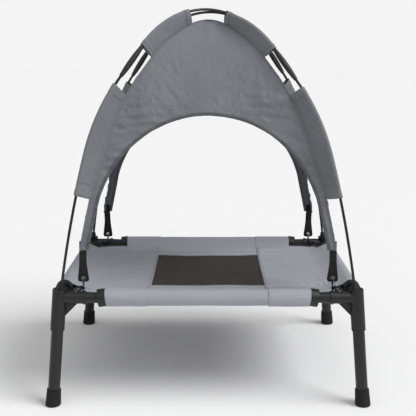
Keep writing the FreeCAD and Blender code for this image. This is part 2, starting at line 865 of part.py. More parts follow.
# ---------------------------------------------------------------- straps, eyelets and hooks
def make_strap():
    """A webbing tab under a canopy leg, flared at its end."""
    top = leg_end_height - strap_top_gap
    low = eyelet_height - strap_tip
    flare = eyelet_height + strap_flare_top
    front = hook_y - strap_thickness / 2
    half = [
        (strap_top_half, top),
        (strap_top_half, flare),
        (strap_bottom_half, low + strap_chamfer),
        (strap_bottom_half - strap_chamfer, low),
    ]
    points = [(hook_x + x, front, z) for x, z in half]
    points += [(hook_x - x, front, z) for x, z in reversed(half)]
    tab = prism(points, (0, strap_thickness, 0))
    hole = Part.makeCylinder(
        eyelet_barrel + 0.1, 20, Vector(hook_x, hook_y - 10, eyelet_height), Vector(0, 1, 0)
    )
    return tab.cut(hole)


def make_eyelet():
    """A rolled metal eyelet through the strap."""
    depth = strap_thickness + 2 * eyelet_lip + 0.1
    centre = Vector(hook_x, hook_y - depth / 2, eyelet_height)
    heading = Vector(0, 1, 0)
    body = Part.makeCylinder(eyelet_flange, depth, centre, heading)
    waist = Part.makeCylinder(
        eyelet_flange + 1, strap_thickness + 0.1, centre + heading * eyelet_lip, heading
    ).cut(Part.makeCylinder(eyelet_barrel, depth, centre, heading))
    bore = Part.makeCylinder(eyelet_bore, depth * 2, centre - heading, heading)
    return body.cut(waist).cut(bore)


def make_hook():
    """A wire hook: a ring through the eyelet, a shank, and a bend under the peg."""
    ring_centre = Vector(hook_x, hook_y, eyelet_height - hook_ring)
    ring = Part.makeTorus(hook_ring, wire_radius, ring_centre, Vector(1, 0, 0))
    bend_height = peg_height + peg_below_bend
    shank_top = Vector(hook_x, hook_y, eyelet_height - 2 * hook_ring)
    bend_start = Vector(hook_x, hook_y, bend_height)
    bend_low = Vector(peg_x, hook_y, bend_height - hook_bend)
    bend_end = Vector(peg_x + hook_bend, hook_y, bend_height)
    tip = bend_end + Vector(0, 0, hook_tip)
    wire = rod(
        [line_edge(shank_top, bend_start), arc_edge(bend_start, bend_low, bend_end), line_edge(bend_end, tip)],
        wire_radius,
    )
    ball = Part.makeSphere(wire_radius, tip)
    return ring.fuse([wire, ball])


# ---------------------------------------------------------------- write the nodes
def main():
    leg = make_leg()
    foot = make_foot()
    strap = make_strap()
    eyelet = make_eyelet()
    hook = make_hook()
    eyelets = []
    bindings = []
    tape = make_corner_binding()
    for name, (sign_x, sign_y) in corners.items():
        save("leg_tube_" + name, mirrored(leg, sign_x, sign_y))
        save("foot_cap_" + name, mirrored(foot, sign_x, sign_y))
        save("corner_bracket_" + name, mirrored(make_bracket(corner_pieces[name]), sign_x, sign_y))
        save("side_pole_" + name, make_side_pole(name))
        save("pole_ferrule_" + name, make_ferrule(name))
        save("lower_sleeve_" + name, make_sleeve(name, station_sleeve_low, station_sleeve_top))
        save("upper_sleeve_" + name, make_sleeve(name, station_crown_low, station_crown_top))
        save("corner_strap_" + name, mirrored(strap, sign_x, sign_y))
        save("strap_hook_" + name, mirrored(hook, sign_x, sign_y))
        eyelets.append(mirrored(eyelet, sign_x, sign_y))
        bindings.append(mirrored(tape, sign_x, sign_y))
    save("strap_eyelets", Part.makeCompound(eyelets))
    save("mat_corner_bindings", Part.makeCompound(bindings))
    save("crown_pole_upper", make_crown_pole("front_left", "back_right"))
    save("crown_pole_lower", make_crown_pole("front_right", "back_left"))

    back_rail = make_rail(True)
    right_rail = make_rail(False)
    save("rail_back", back_rail)
    save("rail_front", mirrored(back_rail, 1, -1))
    save("rail_right", right_rail)
    save("rail_left", mirrored(right_rail, -1, 1))

    right_panel = make_side_panel()
    save("mat_panel_right", right_panel)
    save("mat_panel_left", mirrored(right_panel, -1, 1))
    strip = make_strip()
    save("mat_strip_back", strip)
    save("mat_strip_front", mirrored(strip, 1, -1))
    save("mat_mesh_window", make_window())

    back_panel = make_panel(True)
    side_panel = make_panel(False)
    save("canopy_panel_back", back_panel)
    save("canopy_panel_front", mirrored(back_panel, 1, -1))
    save("canopy_panel_right", side_panel)
    save("canopy_panel_left", mirrored(side_panel, -1, 1))
    back_trim = make_trim(True)
    side_trim = make_trim(False)
    trims = [back_trim, mirrored(back_trim, 1, -1), side_trim, mirrored(side_trim, -1, 1)]
    save("canopy_arch_bindings", Part.makeCompound(trims))


main()
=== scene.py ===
import math

import bmesh
import bpy
import numpy as np
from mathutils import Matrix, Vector, noise


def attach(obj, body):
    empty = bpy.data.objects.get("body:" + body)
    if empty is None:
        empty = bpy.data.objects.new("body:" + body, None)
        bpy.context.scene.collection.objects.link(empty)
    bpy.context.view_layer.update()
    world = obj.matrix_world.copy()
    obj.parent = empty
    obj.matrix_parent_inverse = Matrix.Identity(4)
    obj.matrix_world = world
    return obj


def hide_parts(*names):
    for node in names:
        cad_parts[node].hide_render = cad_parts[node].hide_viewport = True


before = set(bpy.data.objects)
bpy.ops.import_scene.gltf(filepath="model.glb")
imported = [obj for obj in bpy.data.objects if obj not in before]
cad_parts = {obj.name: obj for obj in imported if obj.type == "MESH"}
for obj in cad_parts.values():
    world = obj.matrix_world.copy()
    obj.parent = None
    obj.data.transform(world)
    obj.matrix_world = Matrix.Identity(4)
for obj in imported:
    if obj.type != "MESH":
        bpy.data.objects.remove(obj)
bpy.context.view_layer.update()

# Lengths are in millimetres until a mesh is written.
MM = 0.001

# ---------------------------------------------------------------- sizes of the frame
corner_x, corner_y = 274.1, 199.1      # corner axes at rail height
foot_half_x, foot_half_y = 290.5, 215.5
leg_splay = 0.08
rail_height = 205.0
socket_top = 221.5
long_arm, short_arm = 72.0, 44.0       # corner axis to the collars along X and along Y
collar_length = 14.0
collar_lean = math.radians(8.0)
corners = {"front_left": (-1, -1), "front_right": (1, -1), "back_left": (-1, 1), "back_right": (1, 1)}

# ---------------------------------------------------------------- sizes of the mat
hem_radius, side_hem_radius, strip_hem_radius = 16.2, 14.8, 15.2
hem_tail = 32.0                        # rail's axis to the pocket's stitched line
lift_off = -0.9                        # height of a pocket's cloth over the web, from the rail's axis
web_top = 204.0
window_half_x, window_half_y = 111.0, 110.0
panel_lap = 6.0                        # middle strip under the side panel
seam_rows = (1.8, 5.0)                 # stitches of that seam, from the panel's edge
second_hem_y = 130.0                   # inner row of hem stitches
mat_sag = 6.0
mat_cloth = 1.0
cut_inset = 17.5
cut_corner_x, cut_corner_y = 18.0, 24.0
mesh_pitch = 3.0
hem_row = 1.5                          # hem's stitches, inwards from the pocket's stitched line
hem_soft, side_hem_soft = 3.5, 8.0     # how softly a pocket's cloth climbs off the web
thread_lift = 0.15                     # stitches over the cloth
corner_tape_width = 6.0

# ---------------------------------------------------------------- sizes of the canopy
pole_inboard = 3.0
apex_height = 726.8
half_crossing = 2.6
tilt_foot, tilt_side, tilt_straight = (math.radians(a) for a in (9.6, 17.1, 40.9))
shoulder_radius = 376.0
straight_length = 79.0
leg_end_height = 288.0
leg_width = 16.0
low_mouth_height, shoulder_height, low_top_height = 389.0, 475.0, 586.0
high_top_reach = 46.0
ferrule_length, sleeve_ferrule_gap = 72.0, 0.6
arch_top, arch_rise, arch_tangent = 533.0, 220.0, 375.0
crown_hole = 0.1
canopy_cloth = 0.8
seam_stitch_inset = 3.5                # stitches beside a corner seam
tape_width = 6.5
sleeve_cloth = 0.8
pocket_radius = 4.3                    # outside of a sleeve round its pole
eyelet_height = 234.5
strap_x, strap_y = corner_x - 41.7, corner_y - 25.1
strap_thickness = 1.8
strap_hole = 2.9
eyelet_middle = 3.4                    # radius of the middle of an eyelet's rim

diagonal = math.hypot(corner_x, corner_y)
plan_cos, plan_sin = corner_x / diagonal, corner_y / diagonal
mouth_x = foot_half_x - leg_splay * socket_top
mouth_y = foot_half_y - leg_splay * socket_top
pole_foot = mouth_x * plan_cos + mouth_y * plan_sin - pole_inboard


# ---------------------------------------------------------------- small tools
def linear(hex_colour):
    """An sRGB hex colour as linear red, green, blue and alpha."""
    parts = [int(hex_colour[i:i + 2], 16) / 255 for i in (1, 3, 5)]
    return [p / 12.92 if p <= 0.04045 else ((p + 0.055) / 1.055) ** 2.4 for p in parts] + [1.0]


def add_node(tree, kind, inputs=None, **settings):
    """Add a node with its settings; each input takes a value or a socket to link."""
    node = tree.nodes.new(kind)
    for name, value in settings.items():
        setattr(node, name, value)
    for key, value in (inputs or {}).items():
        if isinstance(value, bpy.types.NodeSocket):
            tree.links.new(value, node.inputs[key])
        else:
            node.inputs[key].default_value = value
    return node


def math_node(tree, operation, *values):
    """The result of a Math node on values or sockets."""
    return add_node(tree, "ShaderNodeMath", dict(enumerate(values)), operation=operation).outputs[0]


def ease(value, start, end):
    """0 before start, 1 after end, and smooth between them."""
    t = np.clip((np.asarray(value, float) - start) / (end - start), 0.0, 1.0)
    return t * t * (3 - 2 * t)


def folds(u, v, length_u, length_v, seed):
    """Smooth noise from -1 to 1 whose lumps are about length_u by length_v."""
    u, v = np.broadcast_arrays(np.asarray(u, float), np.asarray(v, float))
    flat = [noise.noise(Vector((a / length_u, b / length_v, seed))) for a, b in zip(u.ravel(), v.ravel())]
    return np.array(flat).reshape(u.shape) * 1.6


def creases(u, v, length_u, length_v, seed):
    """Narrow raised lines between flatter patches, from 0 to 1."""
    return np.clip(1.0 - 3.2 * np.abs(folds(u, v, length_u, length_v, seed)), 0.0, 1.0)


def resample(points, count):
    """Points evenly spaced along a broken line."""
    points = np.asarray(points, float)
    steps = np.linalg.norm(np.diff(points, axis=0), axis=1)
    along = np.concatenate([[0.0], np.cumsum(steps)])
    wanted = np.linspace(0.0, along[-1], count)
    return np.stack([np.interp(wanted, along, points[:, k]) for k in range(points.shape[1])], axis=1)


def lengths(points):
    """Distance along each row of points, in metres."""
    steps = np.linalg.norm(np.diff(points, axis=1), axis=2)
    return np.concatenate([np.zeros((len(points), 1)), np.cumsum(steps, axis=1)], axis=1) * MM


class Cloth:
    """Sheets of points gathered into one mesh with a pattern map in metres."""

    def __init__(self):
        self.points, self.maps, self.faces, self.count = [], [], [], 0

    def add(self, grid, inside, pattern=None, ring=False):
        """Add a grid of points, rows by columns, with its faces turned away from inside.

        ring joins the last column to the first.
        """
        grid = np.asarray(grid, float)
        rows, columns = grid.shape[:2]
        if pattern is None:
            across = lengths(grid)
            along = lengths(grid.transpose(1, 0, 2)).transpose(1, 0)
            pattern = np.stack([along, across], axis=2)
        index = np.arange(rows * columns).reshape(rows, columns) + self.count
        beside = np.roll(index, -1, axis=1) if ring else index[:, 1:]
        left = index if ring else index[:, :-1]
        quads = np.stack([left[:-1], beside[:-1], beside[1:], left[1:]], axis=-1).reshape(-1, 4)
        flat = grid.reshape(-1, 3)
        local = quads - self.count
        turn = np.cross(flat[local[:, 2]] - flat[local[:, 0]], flat[local[:, 3]] - flat[local[:, 1]])
        centre = flat[local].mean(axis=1)
        target = np.broadcast_to(np.asarray(inside, float), grid.shape).reshape(-1, 3)[local].mean(axis=1)
        if np.einsum("ij,ij->i", turn, centre - target).sum() < 0:
            quads = quads[:, ::-1]
        self.points.append(flat)
        self.maps.append(pattern.reshape(-1, 2))
        self.faces.append(quads)
        self.count += rows * columns

    def piece(self, name, material, thickness=0.0):
        """The gathered sheets as a closed piece, thickened inwards."""
        points = np.concatenate(self.points) * MM
        maps = np.concatenate(self.maps)
        faces = np.concatenate(self.faces)
        mesh = bpy.data.meshes.new(name)
        mesh.from_pydata(points.tolist(), [], faces.tolist())
        layer = mesh.uv_layers.new(name="pattern")
        corner_vertex = np.empty(len(mesh.loops), dtype=np.int32)
        mesh.loops.foreach_get("vertex_index", corner_vertex)
        layer.data.foreach_set("uv", maps[corner_vertex].astype(np.float32).ravel())
        piece = add_piece(name, mesh, material)
        if thickness:
            wall = piece.modifiers.new("wall", "SOLIDIFY")
            wall.thickness = thickness * MM
            wall.offset = -1.0
            wall.use_even_offset = True
        return made_plain(piece)


def add_piece(name, mesh, material):
    piece = bpy.data.objects.new(name, mesh)
    bpy.context.scene.collection.objects.link(piece)
    mesh.materials.clear()
    mesh.materials.append(material)
    mesh.polygons.foreach_set("use_smooth", [True] * len(mesh.polygons))
    return piece


def made_plain(piece):
    """Turn a piece's modifiers into plain mesh, with its faces turned outwards."""
    evaluated = piece.evaluated_get(bpy.context.evaluated_depsgraph_get())
    mesh = bpy.data.meshes.new_from_object(evaluated)
    piece.modifiers.clear()
    piece.data = mesh
    mesh.name = piece.name
    work = bmesh.new()
    work.from_mesh(mesh)
    bmesh.ops.recalc_face_normals(work, faces=work.faces)
    work.to_mesh(mesh)
    work.free()
    return piece


def vertex_points(mesh):
    """A mesh's vertices as rows of x, y and z."""
    points = np.zeros(len(mesh.vertices) * 3, dtype=np.float32)
    mesh.vertices.foreach_get("co", points)
    return points.reshape(-1, 3).astype(float)


def move_vertices(mesh, points):
    mesh.vertices.foreach_set("co", points.astype(np.float32).ravel())
    mesh.update()


def settle(piece, nodes, body="root"):
    """Ride a piece on its body and stand it for its nodes."""
    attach(piece, body)
    if nodes:
        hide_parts(*nodes)


# ---------------------------------------------------------------- materials
def start_material(name, base, roughness, **shader):
    """A material with its shader's even values set; returns it with its tree and its shader."""
    material = bpy.data.materials.new(name)
    material.use_nodes = True
    tree = material.node_tree
    surface = tree.nodes["Principled BSDF"]
    surface.inputs["Base Color"].default_value = linear(base)
    surface.inputs["Roughness"].default_value = roughness
    for socket, value in shader.items():
        surface.inputs[socket.replace("_", " ")].default_value = value
    return material, tree, surface


def wave_scale(period):
    """A Wave texture's scale for bands of a period in metres."""
    return 2 * math.pi / (20 * period)


def noise_node(tree, vector, scale, detail, roughness=0.5):
    return add_node(tree, "ShaderNodeTexNoise", {
        "Vector": vector, "Scale": scale, "Detail": detail, "Roughness": roughness}).outputs[0]


def stretched(tree, value, low, high, to_low=0.0, to_high=1.0):
    """A value whose range from low to high is stretched to another range."""
    return add_node(tree, "ShaderNodeMapRange", {
        "Value": value, "From Min": low, "From Max": high, "To Min": to_low, "To Max": to_high}).outputs[0]


def bumped(tree, height, strength, distance, **normal):
    return add_node(tree, "ShaderNodeBump", {
        "Height": height, "Strength": strength, "Distance": distance, **normal}).outputs[0]


def colour_between(tree, surface, share, first, second):
    """Give a shader its base colour, from the first hex colour to the second by share."""
    mixed = add_node(tree, "ShaderNodeMix", {
        0: share, 6: linear(first), 7: linear(second)}, data_type="RGBA")
    tree.links.new(mixed.outputs[2], surface.inputs["Base Color"])


def woven(name, light, dark, thread, fleck, relief, weave_colour=0.35):
    """Plain-woven polyester: crossing threads, yarn flecks and slow dye variation.

    thread is the spacing in metres of the threads as drawn, and fleck the length of a yarn fleck.
    """
    material, tree, surface = start_material(
        name, light, 0.82, Sheen_Weight=0.12, Sheen_Roughness=0.5, Specular_IOR_Level=0.35)
    pattern = add_node(tree, "ShaderNodeUVMap", uv_map="pattern").outputs[0]
    place = add_node(tree, "ShaderNodeTexCoord").outputs["Object"]
    bands = [
        add_node(tree, "ShaderNodeTexWave", {
            "Vector": pattern, "Scale": wave_scale(thread), "Distortion": 0.6,
            "Detail": 1.0, "Detail Scale": 0.3}, bands_direction=direction).outputs[1]
        for direction in ("X", "Y")]
    crossing = math_node(tree, "MULTIPLY", *bands)
    flecks = []
    for stretch in ((1 / fleck, 6 / fleck, 1), (6 / fleck, 1 / fleck, 1)):
        placed = add_node(tree, "ShaderNodeMapping", {"Vector": pattern, "Scale": stretch})
        flecks.append(noise_node(tree, placed.outputs[0], 1.0, 3.0, 0.7))
    yarn = stretched(tree, math_node(tree, "ADD", *flecks), 0.7, 1.3)
    dye = noise_node(tree, place, 9.0, 2.0)
    share = math_node(tree, "MULTIPLY_ADD", yarn, 0.6, math_node(tree, "MULTIPLY", crossing, weave_colour))
    share = math_node(tree, "MULTIPLY_ADD", dye, 0.5, share)
    colour_between(tree, surface, stretched(tree, share, 0.15, 1.1), dark, light)
    raised = bumped(tree, crossing, 0.5, relief)
    creased = noise_node(tree, place, 120.0, 4.0, 0.6)
    tree.links.new(bumped(tree, creased, 0.35, 0.0012, Normal=raised), surface.inputs["Normal"])
    return material


def grained(name, base, worn, roughness, grain, relief, **shader):
    """A hard or rubbery finish with a fine skin and slightly uneven gloss.

    grain is the size in metres of the skin's lumps, and worn the colour of its patches.
    """
    material, tree, surface = start_material(name, base, roughness, **shader)
    place = add_node(tree, "ShaderNodeTexCoord").outputs["Object"]
    skin = noise_node(tree, place, 1 / grain, 2.0)
    patches = noise_node(tree, place, 35.0, 5.0, 0.65)
    gloss = stretched(tree, patches, 0.3, 0.7, roughness - 0.07, roughness + 0.07)
    tree.links.new(gloss, surface.inputs["Roughness"])
    colour_between(tree, surface, stretched(tree, patches, 0.45, 0.75), base, worn)
    tree.links.new(bumped(tree, skin, 0.4, relief), surface.inputs["Normal"])
    return material


def ribbed(name, base, light, rib, across, relief):
    """Woven narrow ware, such as webbing or tape, with ribs across one axis of its map.

    rib is the distance between ribs in metres.
    """
    material, tree, surface = start_material(name, base, 0.8, Sheen_Weight=0.1, Specular_IOR_Level=0.3)
    pattern = add_node(tree, "ShaderNodeUVMap", uv_map="pattern")
    ribs = add_node(tree, "ShaderNodeTexWave", {
        "Vector": pattern.outputs[0], "Scale": wave_scale(rib), "Distortion": 0.4, "Detail": 1.0},
        bands_direction=across).outputs[1]
    colour_between(tree, surface, ribs, base, light)
    tree.links.new(bumped(tree, ribs, 0.6, relief), surface.inputs["Normal"])
    return material


# Oxford-woven polyester with a dull coated face: a grey with faint lighter yarn flecks.
# Its threads are 0.4 mm apart; they are drawn 1.6 mm apart, the finest that shows.
canopy_oxford = woven("grey_oxford_polyester", "#86878d", "#5d5e63", 0.0016, 0.005, 0.00012)
# The same cloth on the mat, lying flatter, painted lighter than on the canopy for the light that falls on its
# upward face, with a little more blue in the coating.
mat_oxford_painted_lit = woven("oxford_polyester_painted_lit", "#a5a7af", "#93959d", 0.0016, 0.006, 0.00010)
# Folded polyester tape with ribs, darker than the cloth that it binds. The grey arch tape is the canopy's
# cloth painted darker, as painted shade on its downward-facing edge.
arch_tape = ribbed("binding_tape_painted_shade", "#4b4c50", "#5f6064", 0.0016, "X", 0.0001)
corner_tape = ribbed("navy_binding_tape", "#15171d", "#252830", 0.0016, "X", 0.0001)
# Elastic webbing: black ribs that run along its length.
elastic_webbing = ribbed("black_elastic_webbing", "#0f0f10", "#242425", 0.0016, "Y", 0.0002)
# Spun polyester thread: a soft dull cord.
canopy_thread = grained("grey_thread", "#77787c", "#838488", 0.8, 0.0006, 0.0001)
mat_thread = grained("pale_thread", "#7f8189", "#8c8e96", 0.8, 0.0006, 0.0001)
# PVC-coated polyester yarn: brownish black with a slight plastic gloss.
coated_yarn = grained("coated_mesh_yarn", "#2a231f", "#362d28", 0.5, 0.0015, 0.0001)
# Powder-coated steel tube: satin black with a fine orange-peel skin, its lumps about 1.5 mm.
powder_coat = grained(
    "powder_coated_steel", "#111112", "#171718", 0.42, 0.0015, 0.00012, Specular_IOR_Level=0.5)
# Injection-moulded polypropylene with a spark-eroded grain, its lumps 0.6 mm.
moulded = grained("moulded_polypropylene", "#131314", "#1b1b1c", 0.5, 0.0006, 0.00008)
# Synthetic rubber: dead matt, with a bloom of dust in patches.
rubber = grained("black_rubber", "#171717", "#232322", 0.78, 0.0008, 0.00012, Specular_IOR_Level=0.35)
# Pultruded fibreglass rod: glossy black gelcoat.
fibreglass = grained("fibreglass_rod", "#0d0d0e", "#161617", 0.3, 0.002, 0.00004)
# Heat-shrunk sleeve over the ferrule: satin black.
shrink_sleeve = grained("shrink_sleeve", "#1a1a1b", "#222223", 0.46, 0.003, 0.0001)
# Rolled brass with a dark nickel plating: a grey metal with a slightly uneven polish.
nickel = grained("dark_nickel_plated_brass", "#68686a", "#7c7c7e", 0.3, 0.002, 0.00002, Metallic=1.0)
# Black zinc-plated spring wire.
zinc_wire = grained("black_zinc_wire", "#4a4a4c", "#6a6a6c", 0.34, 0.001, 0.00003, Metallic=1.0)

node_finishes = {
    "leg_tube": powder_coat, "foot_cap": rubber, "corner_bracket": moulded, "side_pole": fibreglass,
    "pole_ferrule": shrink_sleeve, "strap_hook": zinc_wire, "crown_pole": fibreglass, "rail": powder_coat,
}
for node_name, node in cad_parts.items():
    for start, finish in node_finishes.items():
        if node_name.startswith(start):
            node.data.materials.clear()
            node.data.materials.append(finish)


# ---------------------------------------------------------------- canopy pole path
def pole_bends(apex):
    """The bends of half an arch: start tilt, end tilt, and a radius, or a length where it is straight."""
    inward = pole_foot - shoulder_radius * (math.cos(tilt_side) - math.cos(tilt_straight))
    inward -= straight_length * math.sin(tilt_straight)
    upward = apex - socket_top - shoulder_radius * (math.sin(tilt_straight) - math.sin(tilt_side))
    upward -= straight_length * math.cos(tilt_straight)
    matrix = np.array([
        [math.cos(tilt_foot) - math.cos(tilt_side), math.cos(tilt_straight)],
        [math.sin(tilt_side) - math.sin(tilt_foot), 1.0 - math.sin(tilt_straight)]])
    side_radius, crown_radius = np.linalg.solve(matrix, [inward, upward])
    return [
        (tilt_foot, tilt_side, side_radius),
        (tilt_side, tilt_straight, shoulder_radius),
        (tilt_straight, tilt_straight, straight_length),
        (tilt_straight, math.pi / 2, crown_radius),
    ]


def pole_state(bends, station):
    """Reach, height and tilt at a station: 0 at the foot, 4 at the apex."""
    reach, height, tilt = pole_foot, socket_top, tilt_foot
    for index, (tilt_a, tilt_b, size) in enumerate(bends):
        share = min(max(station - index, 0.0), 1.0)
        if share <= 0.0:
            break
        if tilt_a == tilt_b:
            reach -= size * share * math.sin(tilt_a)
            height += size * share * math.cos(tilt_a)
        else:
            tilt = tilt_a + (tilt_b - tilt_a) * share
            reach -= size * (math.cos(tilt_a) - math.cos(tilt))
            height += size * (math.sin(tilt) - math.sin(tilt_a))
    return reach, height, tilt


mean_bends = pole_bends(apex_height)
over_bends = pole_bends(apex_height + half_crossing)
under_bends = pole_bends(apex_height - half_crossing)
corner_bends = {
    "front_left": over_bends, "back_right": over_bends, "front_right": under_bends, "back_left": under_bends}


def station_where(test):
    """The last station for which test(reach, height) holds, up from the foot."""
    low, high = 0.0, 4.0
    for _ in range(50):
        middle = (low + high) / 2
        reach, height, _tilt = pole_state(mean_bends, middle)
        if test(reach, height):
            low = middle
        else:
            high = middle
    return low


leg_hang = 27.0                        # pole's axis in to the corner seam at the leg's end
station_leg_end = station_where(lambda r, h: h < leg_end_height + leg_hang * math.sin(tilt_foot))
station_low_mouth = station_where(lambda r, h: h < low_mouth_height)
station_shoulder = station_where(lambda r, h: h < shoulder_height)
station_low_top = station_where(lambda r, h: h < low_top_height)
station_high_mouth = 2.5 + (ferrule_length / 2 + sleeve_ferrule_gap) / straight_length
station_high_top = station_where(lambda r, h: r > high_top_reach)
# Distance from the pole's axis in to the corner seam, at stations up the pole.
hang_stations = [station_leg_end, station_low_mouth, station_shoulder, 2.35, 3.35, 4.0]
hang_values = [leg_hang, 28.5, 36.0, 26.5, 27.5, 17.5]


def hang_at(station):
    for k in range(5):
        if station <= hang_stations[k + 1]:
            return hang_values[k] + (hang_values[k + 1] - hang_values[k]) * float(
                ease(station, hang_stations[k], hang_stations[k + 1]))
    return hang_values[-1]


def seam_at(station, inner=0.0):
    """Reach and height of the corner seam, or of a line further in."""
    reach, height, tilt = pole_state(mean_bends, station)
    inward = hang_at(station) + inner
    return reach - inward * math.cos(tilt), height - inward * math.sin(tilt)


# ---------------------------------------------------------------- canopy cloth
class Face:
    """One face of the canopy: a sheet curved one way, laid out flat as (across, up) in millimetres."""

    def __init__(self, name, across_x, sign, seed):
        self.name, self.across_x, self.sign, self.seed = name, across_x, sign, seed
        depth_share = plan_sin if across_x else plan_cos
        self.width_share = plan_cos if across_x else plan_sin
        seam = np.array([seam_at(s) for s in np.linspace(station_leg_end, 4.0, 260)])
        self.depth, self.height = seam[:, 0] * depth_share, seam[:, 1]
        self.half = seam[:, 0] * self.width_share
        steps = np.hypot(np.diff(self.depth), np.diff(self.height))
        self.up = np.concatenate([[0.0], np.cumsum(steps)])
        slope_d, slope_h = np.gradient(self.depth, self.up), np.gradient(self.height, self.up)
        size = np.hypot(slope_d, slope_h)
        self.out_d, self.out_h = slope_h / size, -slope_d / size

    def up_at_height(self, height):
        return np.interp(height, self.height, self.up)

    def half_at(self, up):
        """Half width between the seams."""
        return np.interp(up, self.up, self.half)

    def relief(self, across, up):
        """How far the cloth stands in or out of the plain curved sheet."""
        half = np.maximum(self.half_at(up), 1.0)
        height = np.interp(up, self.up, self.height)
        beside_seam = ease(half - np.abs(across), 0.0, 16.0)
        bent = across + 9.0 * folds(across, up, 38.0, 30.0, self.seed + 13)
        share = np.clip(np.abs(across) / half, 0.0, 1.0)
        seed = self.seed
        bow = -4.2 * (1 - share ** 2) * ease(height, 400.0, 560.0)
        wide = 2.0 * folds(across, up, 75.0, 95.0, seed)
        leg = ease(np.abs(across), 55.0, 100.0) * (1 - ease(height, 545.0, 600.0))
        middle = ease(height, 500.0, 545.0) * (1 - ease(height, 610.0, 660.0))
        upright = 0.75 * middle * folds(bent, up, 10.0, 27.0, seed + 3)
        upright += 0.7 * middle * creases(bent, up, 21.0, 17.0, seed + 4)
        level = 2.6 * leg * folds(across, up, 46.0, 13.0, seed + 7)
        level += 1.5 * leg * creases(across + 0.3 * up, up, 60.0, 20.0, seed + 9)
        lean_u = across * 0.62 + up * 0.78
        lean_v = across * -0.78 + up * 0.62
        lean_left = middle * ease(-across * self.sign, 10.0, 60.0)
        lean_right = middle * ease(across * self.sign, 25.0, 70.0)
        slanted = 1.8 * lean_left * creases(lean_u, lean_v, 75.0, 13.0, seed + 5)
        slanted += 1.2 * lean_right * creases(lean_v, lean_u, 75.0, 16.0, seed + 6)
        crown = 1.8 * np.exp(-((across - 1.5) / 9.0) ** 2) * ease(height, 655.0, 700.0)
        fine = 0.3 * folds(across, up, 9.0, 12.0, seed + 11)
        dip = -1.6 * np.exp(-((self.up[-1] - up) / 11.0) ** 2)
        return (bow + wide + upright + level + slanted + crown + fine) * beside_seam + dip

    def place(self, across, up, lift=0.0):
        """Points in the row frame from flat ones; lift raises them off the cloth."""
        across, up = np.broadcast_arrays(np.asarray(across, float), np.asarray(up, float))
        rise = self.relief(across, up) + lift
        depth = np.interp(up, self.up, self.depth) + rise * np.interp(up, self.up, self.out_d)
        height = np.interp(up, self.up, self.height) + rise * np.interp(up, self.up, self.out_h)
        if self.across_x:
            return np.stack([across, self.sign * depth, height], axis=-1)
        return np.stack([self.sign * depth, across, height], axis=-1)

    def arch(self, inset, count=241):
        """The arched opening's edge, flat, from left foot to right, moved into the cloth by inset."""
        shoulder = 2.0 if self.across_x else 6.0
        centre = arch_top - arch_rise
        half_at_height = lambda h: np.interp(self.up_at_height(h), self.up, self.half)
        tangent_half = half_at_height(arch_tangent) - leg_width - shoulder
        foot_half = half_at_height(leg_end_height) - leg_width
        drop = math.asin((arch_tangent - centre) / arch_rise)
        half_width = tangent_half / math.cos(drop)
        turns = np.linspace(drop, math.pi / 2, 60)
        leg_heights = np.linspace(leg_end_height, arch_tangent, 30)[:-1]
        leg_halves = np.linspace(foot_half, tangent_half, 30)[:-1]
        heights = np.concatenate([leg_heights, centre + arch_rise * np.sin(turns)])
        halves = np.concatenate([leg_halves, half_width * np.cos(turns)])
        right = np.stack([halves, self.up_at_height(heights)], axis=1)
        left = right[:-1] * (-1, 1)
        edge = resample(np.concatenate([left, right[::-1]]), count)
        turn = np.gradient(edge, axis=0)
        turn /= np.linalg.norm(turn, axis=1, keepdims=True)
        outward = np.stack([-turn[:, 1], turn[:, 0]], axis=1)
        moved = edge + outward * inset
        moved[:, 1] = np.maximum(moved[:, 1], 0.0)
        return moved

    def seam(self, inset, count=241):
        """The two corner seams, flat, from left foot over the crown to right foot, moved in by inset."""
        half = self.half - inset
        keep = half > crown_hole
        right = np.stack([half[keep], self.up[keep]], axis=1)
        line = resample(right, (count + 1) // 2)
        return np.concatenate([line * (-1, 1), line[::-1][1:]])


faces = [
    Face("canopy_face_front", True, -1, 11.0),
    Face("canopy_face_back", True, 1, 23.0),
    Face("canopy_face_left", False, -1, 37.0),
    Face("canopy_face_right", False, 1, 53.0),
]
face_nodes = {
    "canopy_face_front": "canopy_panel_front", "canopy_face_back": "canopy_panel_back",
    "canopy_face_left": "canopy_panel_left", "canopy_face_right": "canopy_panel_right"}
canopy_runs = []                       # lines of stitches on the canopy

binding = Cloth()
for face in faces:
    columns = 56
    low, high = face.arch(1.5), face.seam(0.0)
    share = np.linspace(0.0, 1.0, columns)[None, :, None]
    flat = low[:, None, :] * (1 - share) + high[:, None, :] * share
    sheet = Cloth()
    sheet.add(face.place(flat[..., 0], flat[..., 1]), (0, 0, 380), flat * MM)
    panel = sheet.piece(face.name, canopy_oxford, canopy_cloth)
    settle(panel, [face_nodes[face.name]])
    # The tape runs up the outer face, over the cut edge and down the inner one.
    outline = [
        (tape_width, 0.15), (tape_width - 0.6, 0.75), (1.0, 0.85), (0.1, 0.2), (-0.1, -0.4), (0.1, -1.0),
        (1.0, -1.65), (tape_width - 0.6, -1.55), (tape_width, -0.95)]
    strip = np.stack([face.place(*face.arch(inset, 361).T, lift) for inset, lift in outline], axis=1)
    middle_line = face.place(*face.arch(tape_width / 2, 361).T, -0.4)
    binding.add(strip, middle_line[:, None, :] + np.zeros_like(strip), ring=True)
    for lift in (0.85, -1.7):
        canopy_runs.append(face.place(*face.arch(tape_width - 1.6, 700).T, lift))
    line = face.seam(seam_stitch_inset, 901)
    for side in (line[:440], line[461:]):
        canopy_runs.append(face.place(side[:, 0], side[:, 1], 0.1))


def closed_ends(grid):
    """A grid of rings with each end drawn together to a point."""
    first = np.repeat(grid[:1].mean(axis=1, keepdims=True), grid.shape[1], axis=1)
    last = np.repeat(grid[-1:].mean(axis=1, keepdims=True), grid.shape[1], axis=1)
    return np.concatenate([first, grid, last])


# The tape's darker grey is painted shade for its edge that faces down.
tape = binding.piece("canopy_arch_tape", arch_tape)
settle(tape, ["canopy_arch_bindings"])


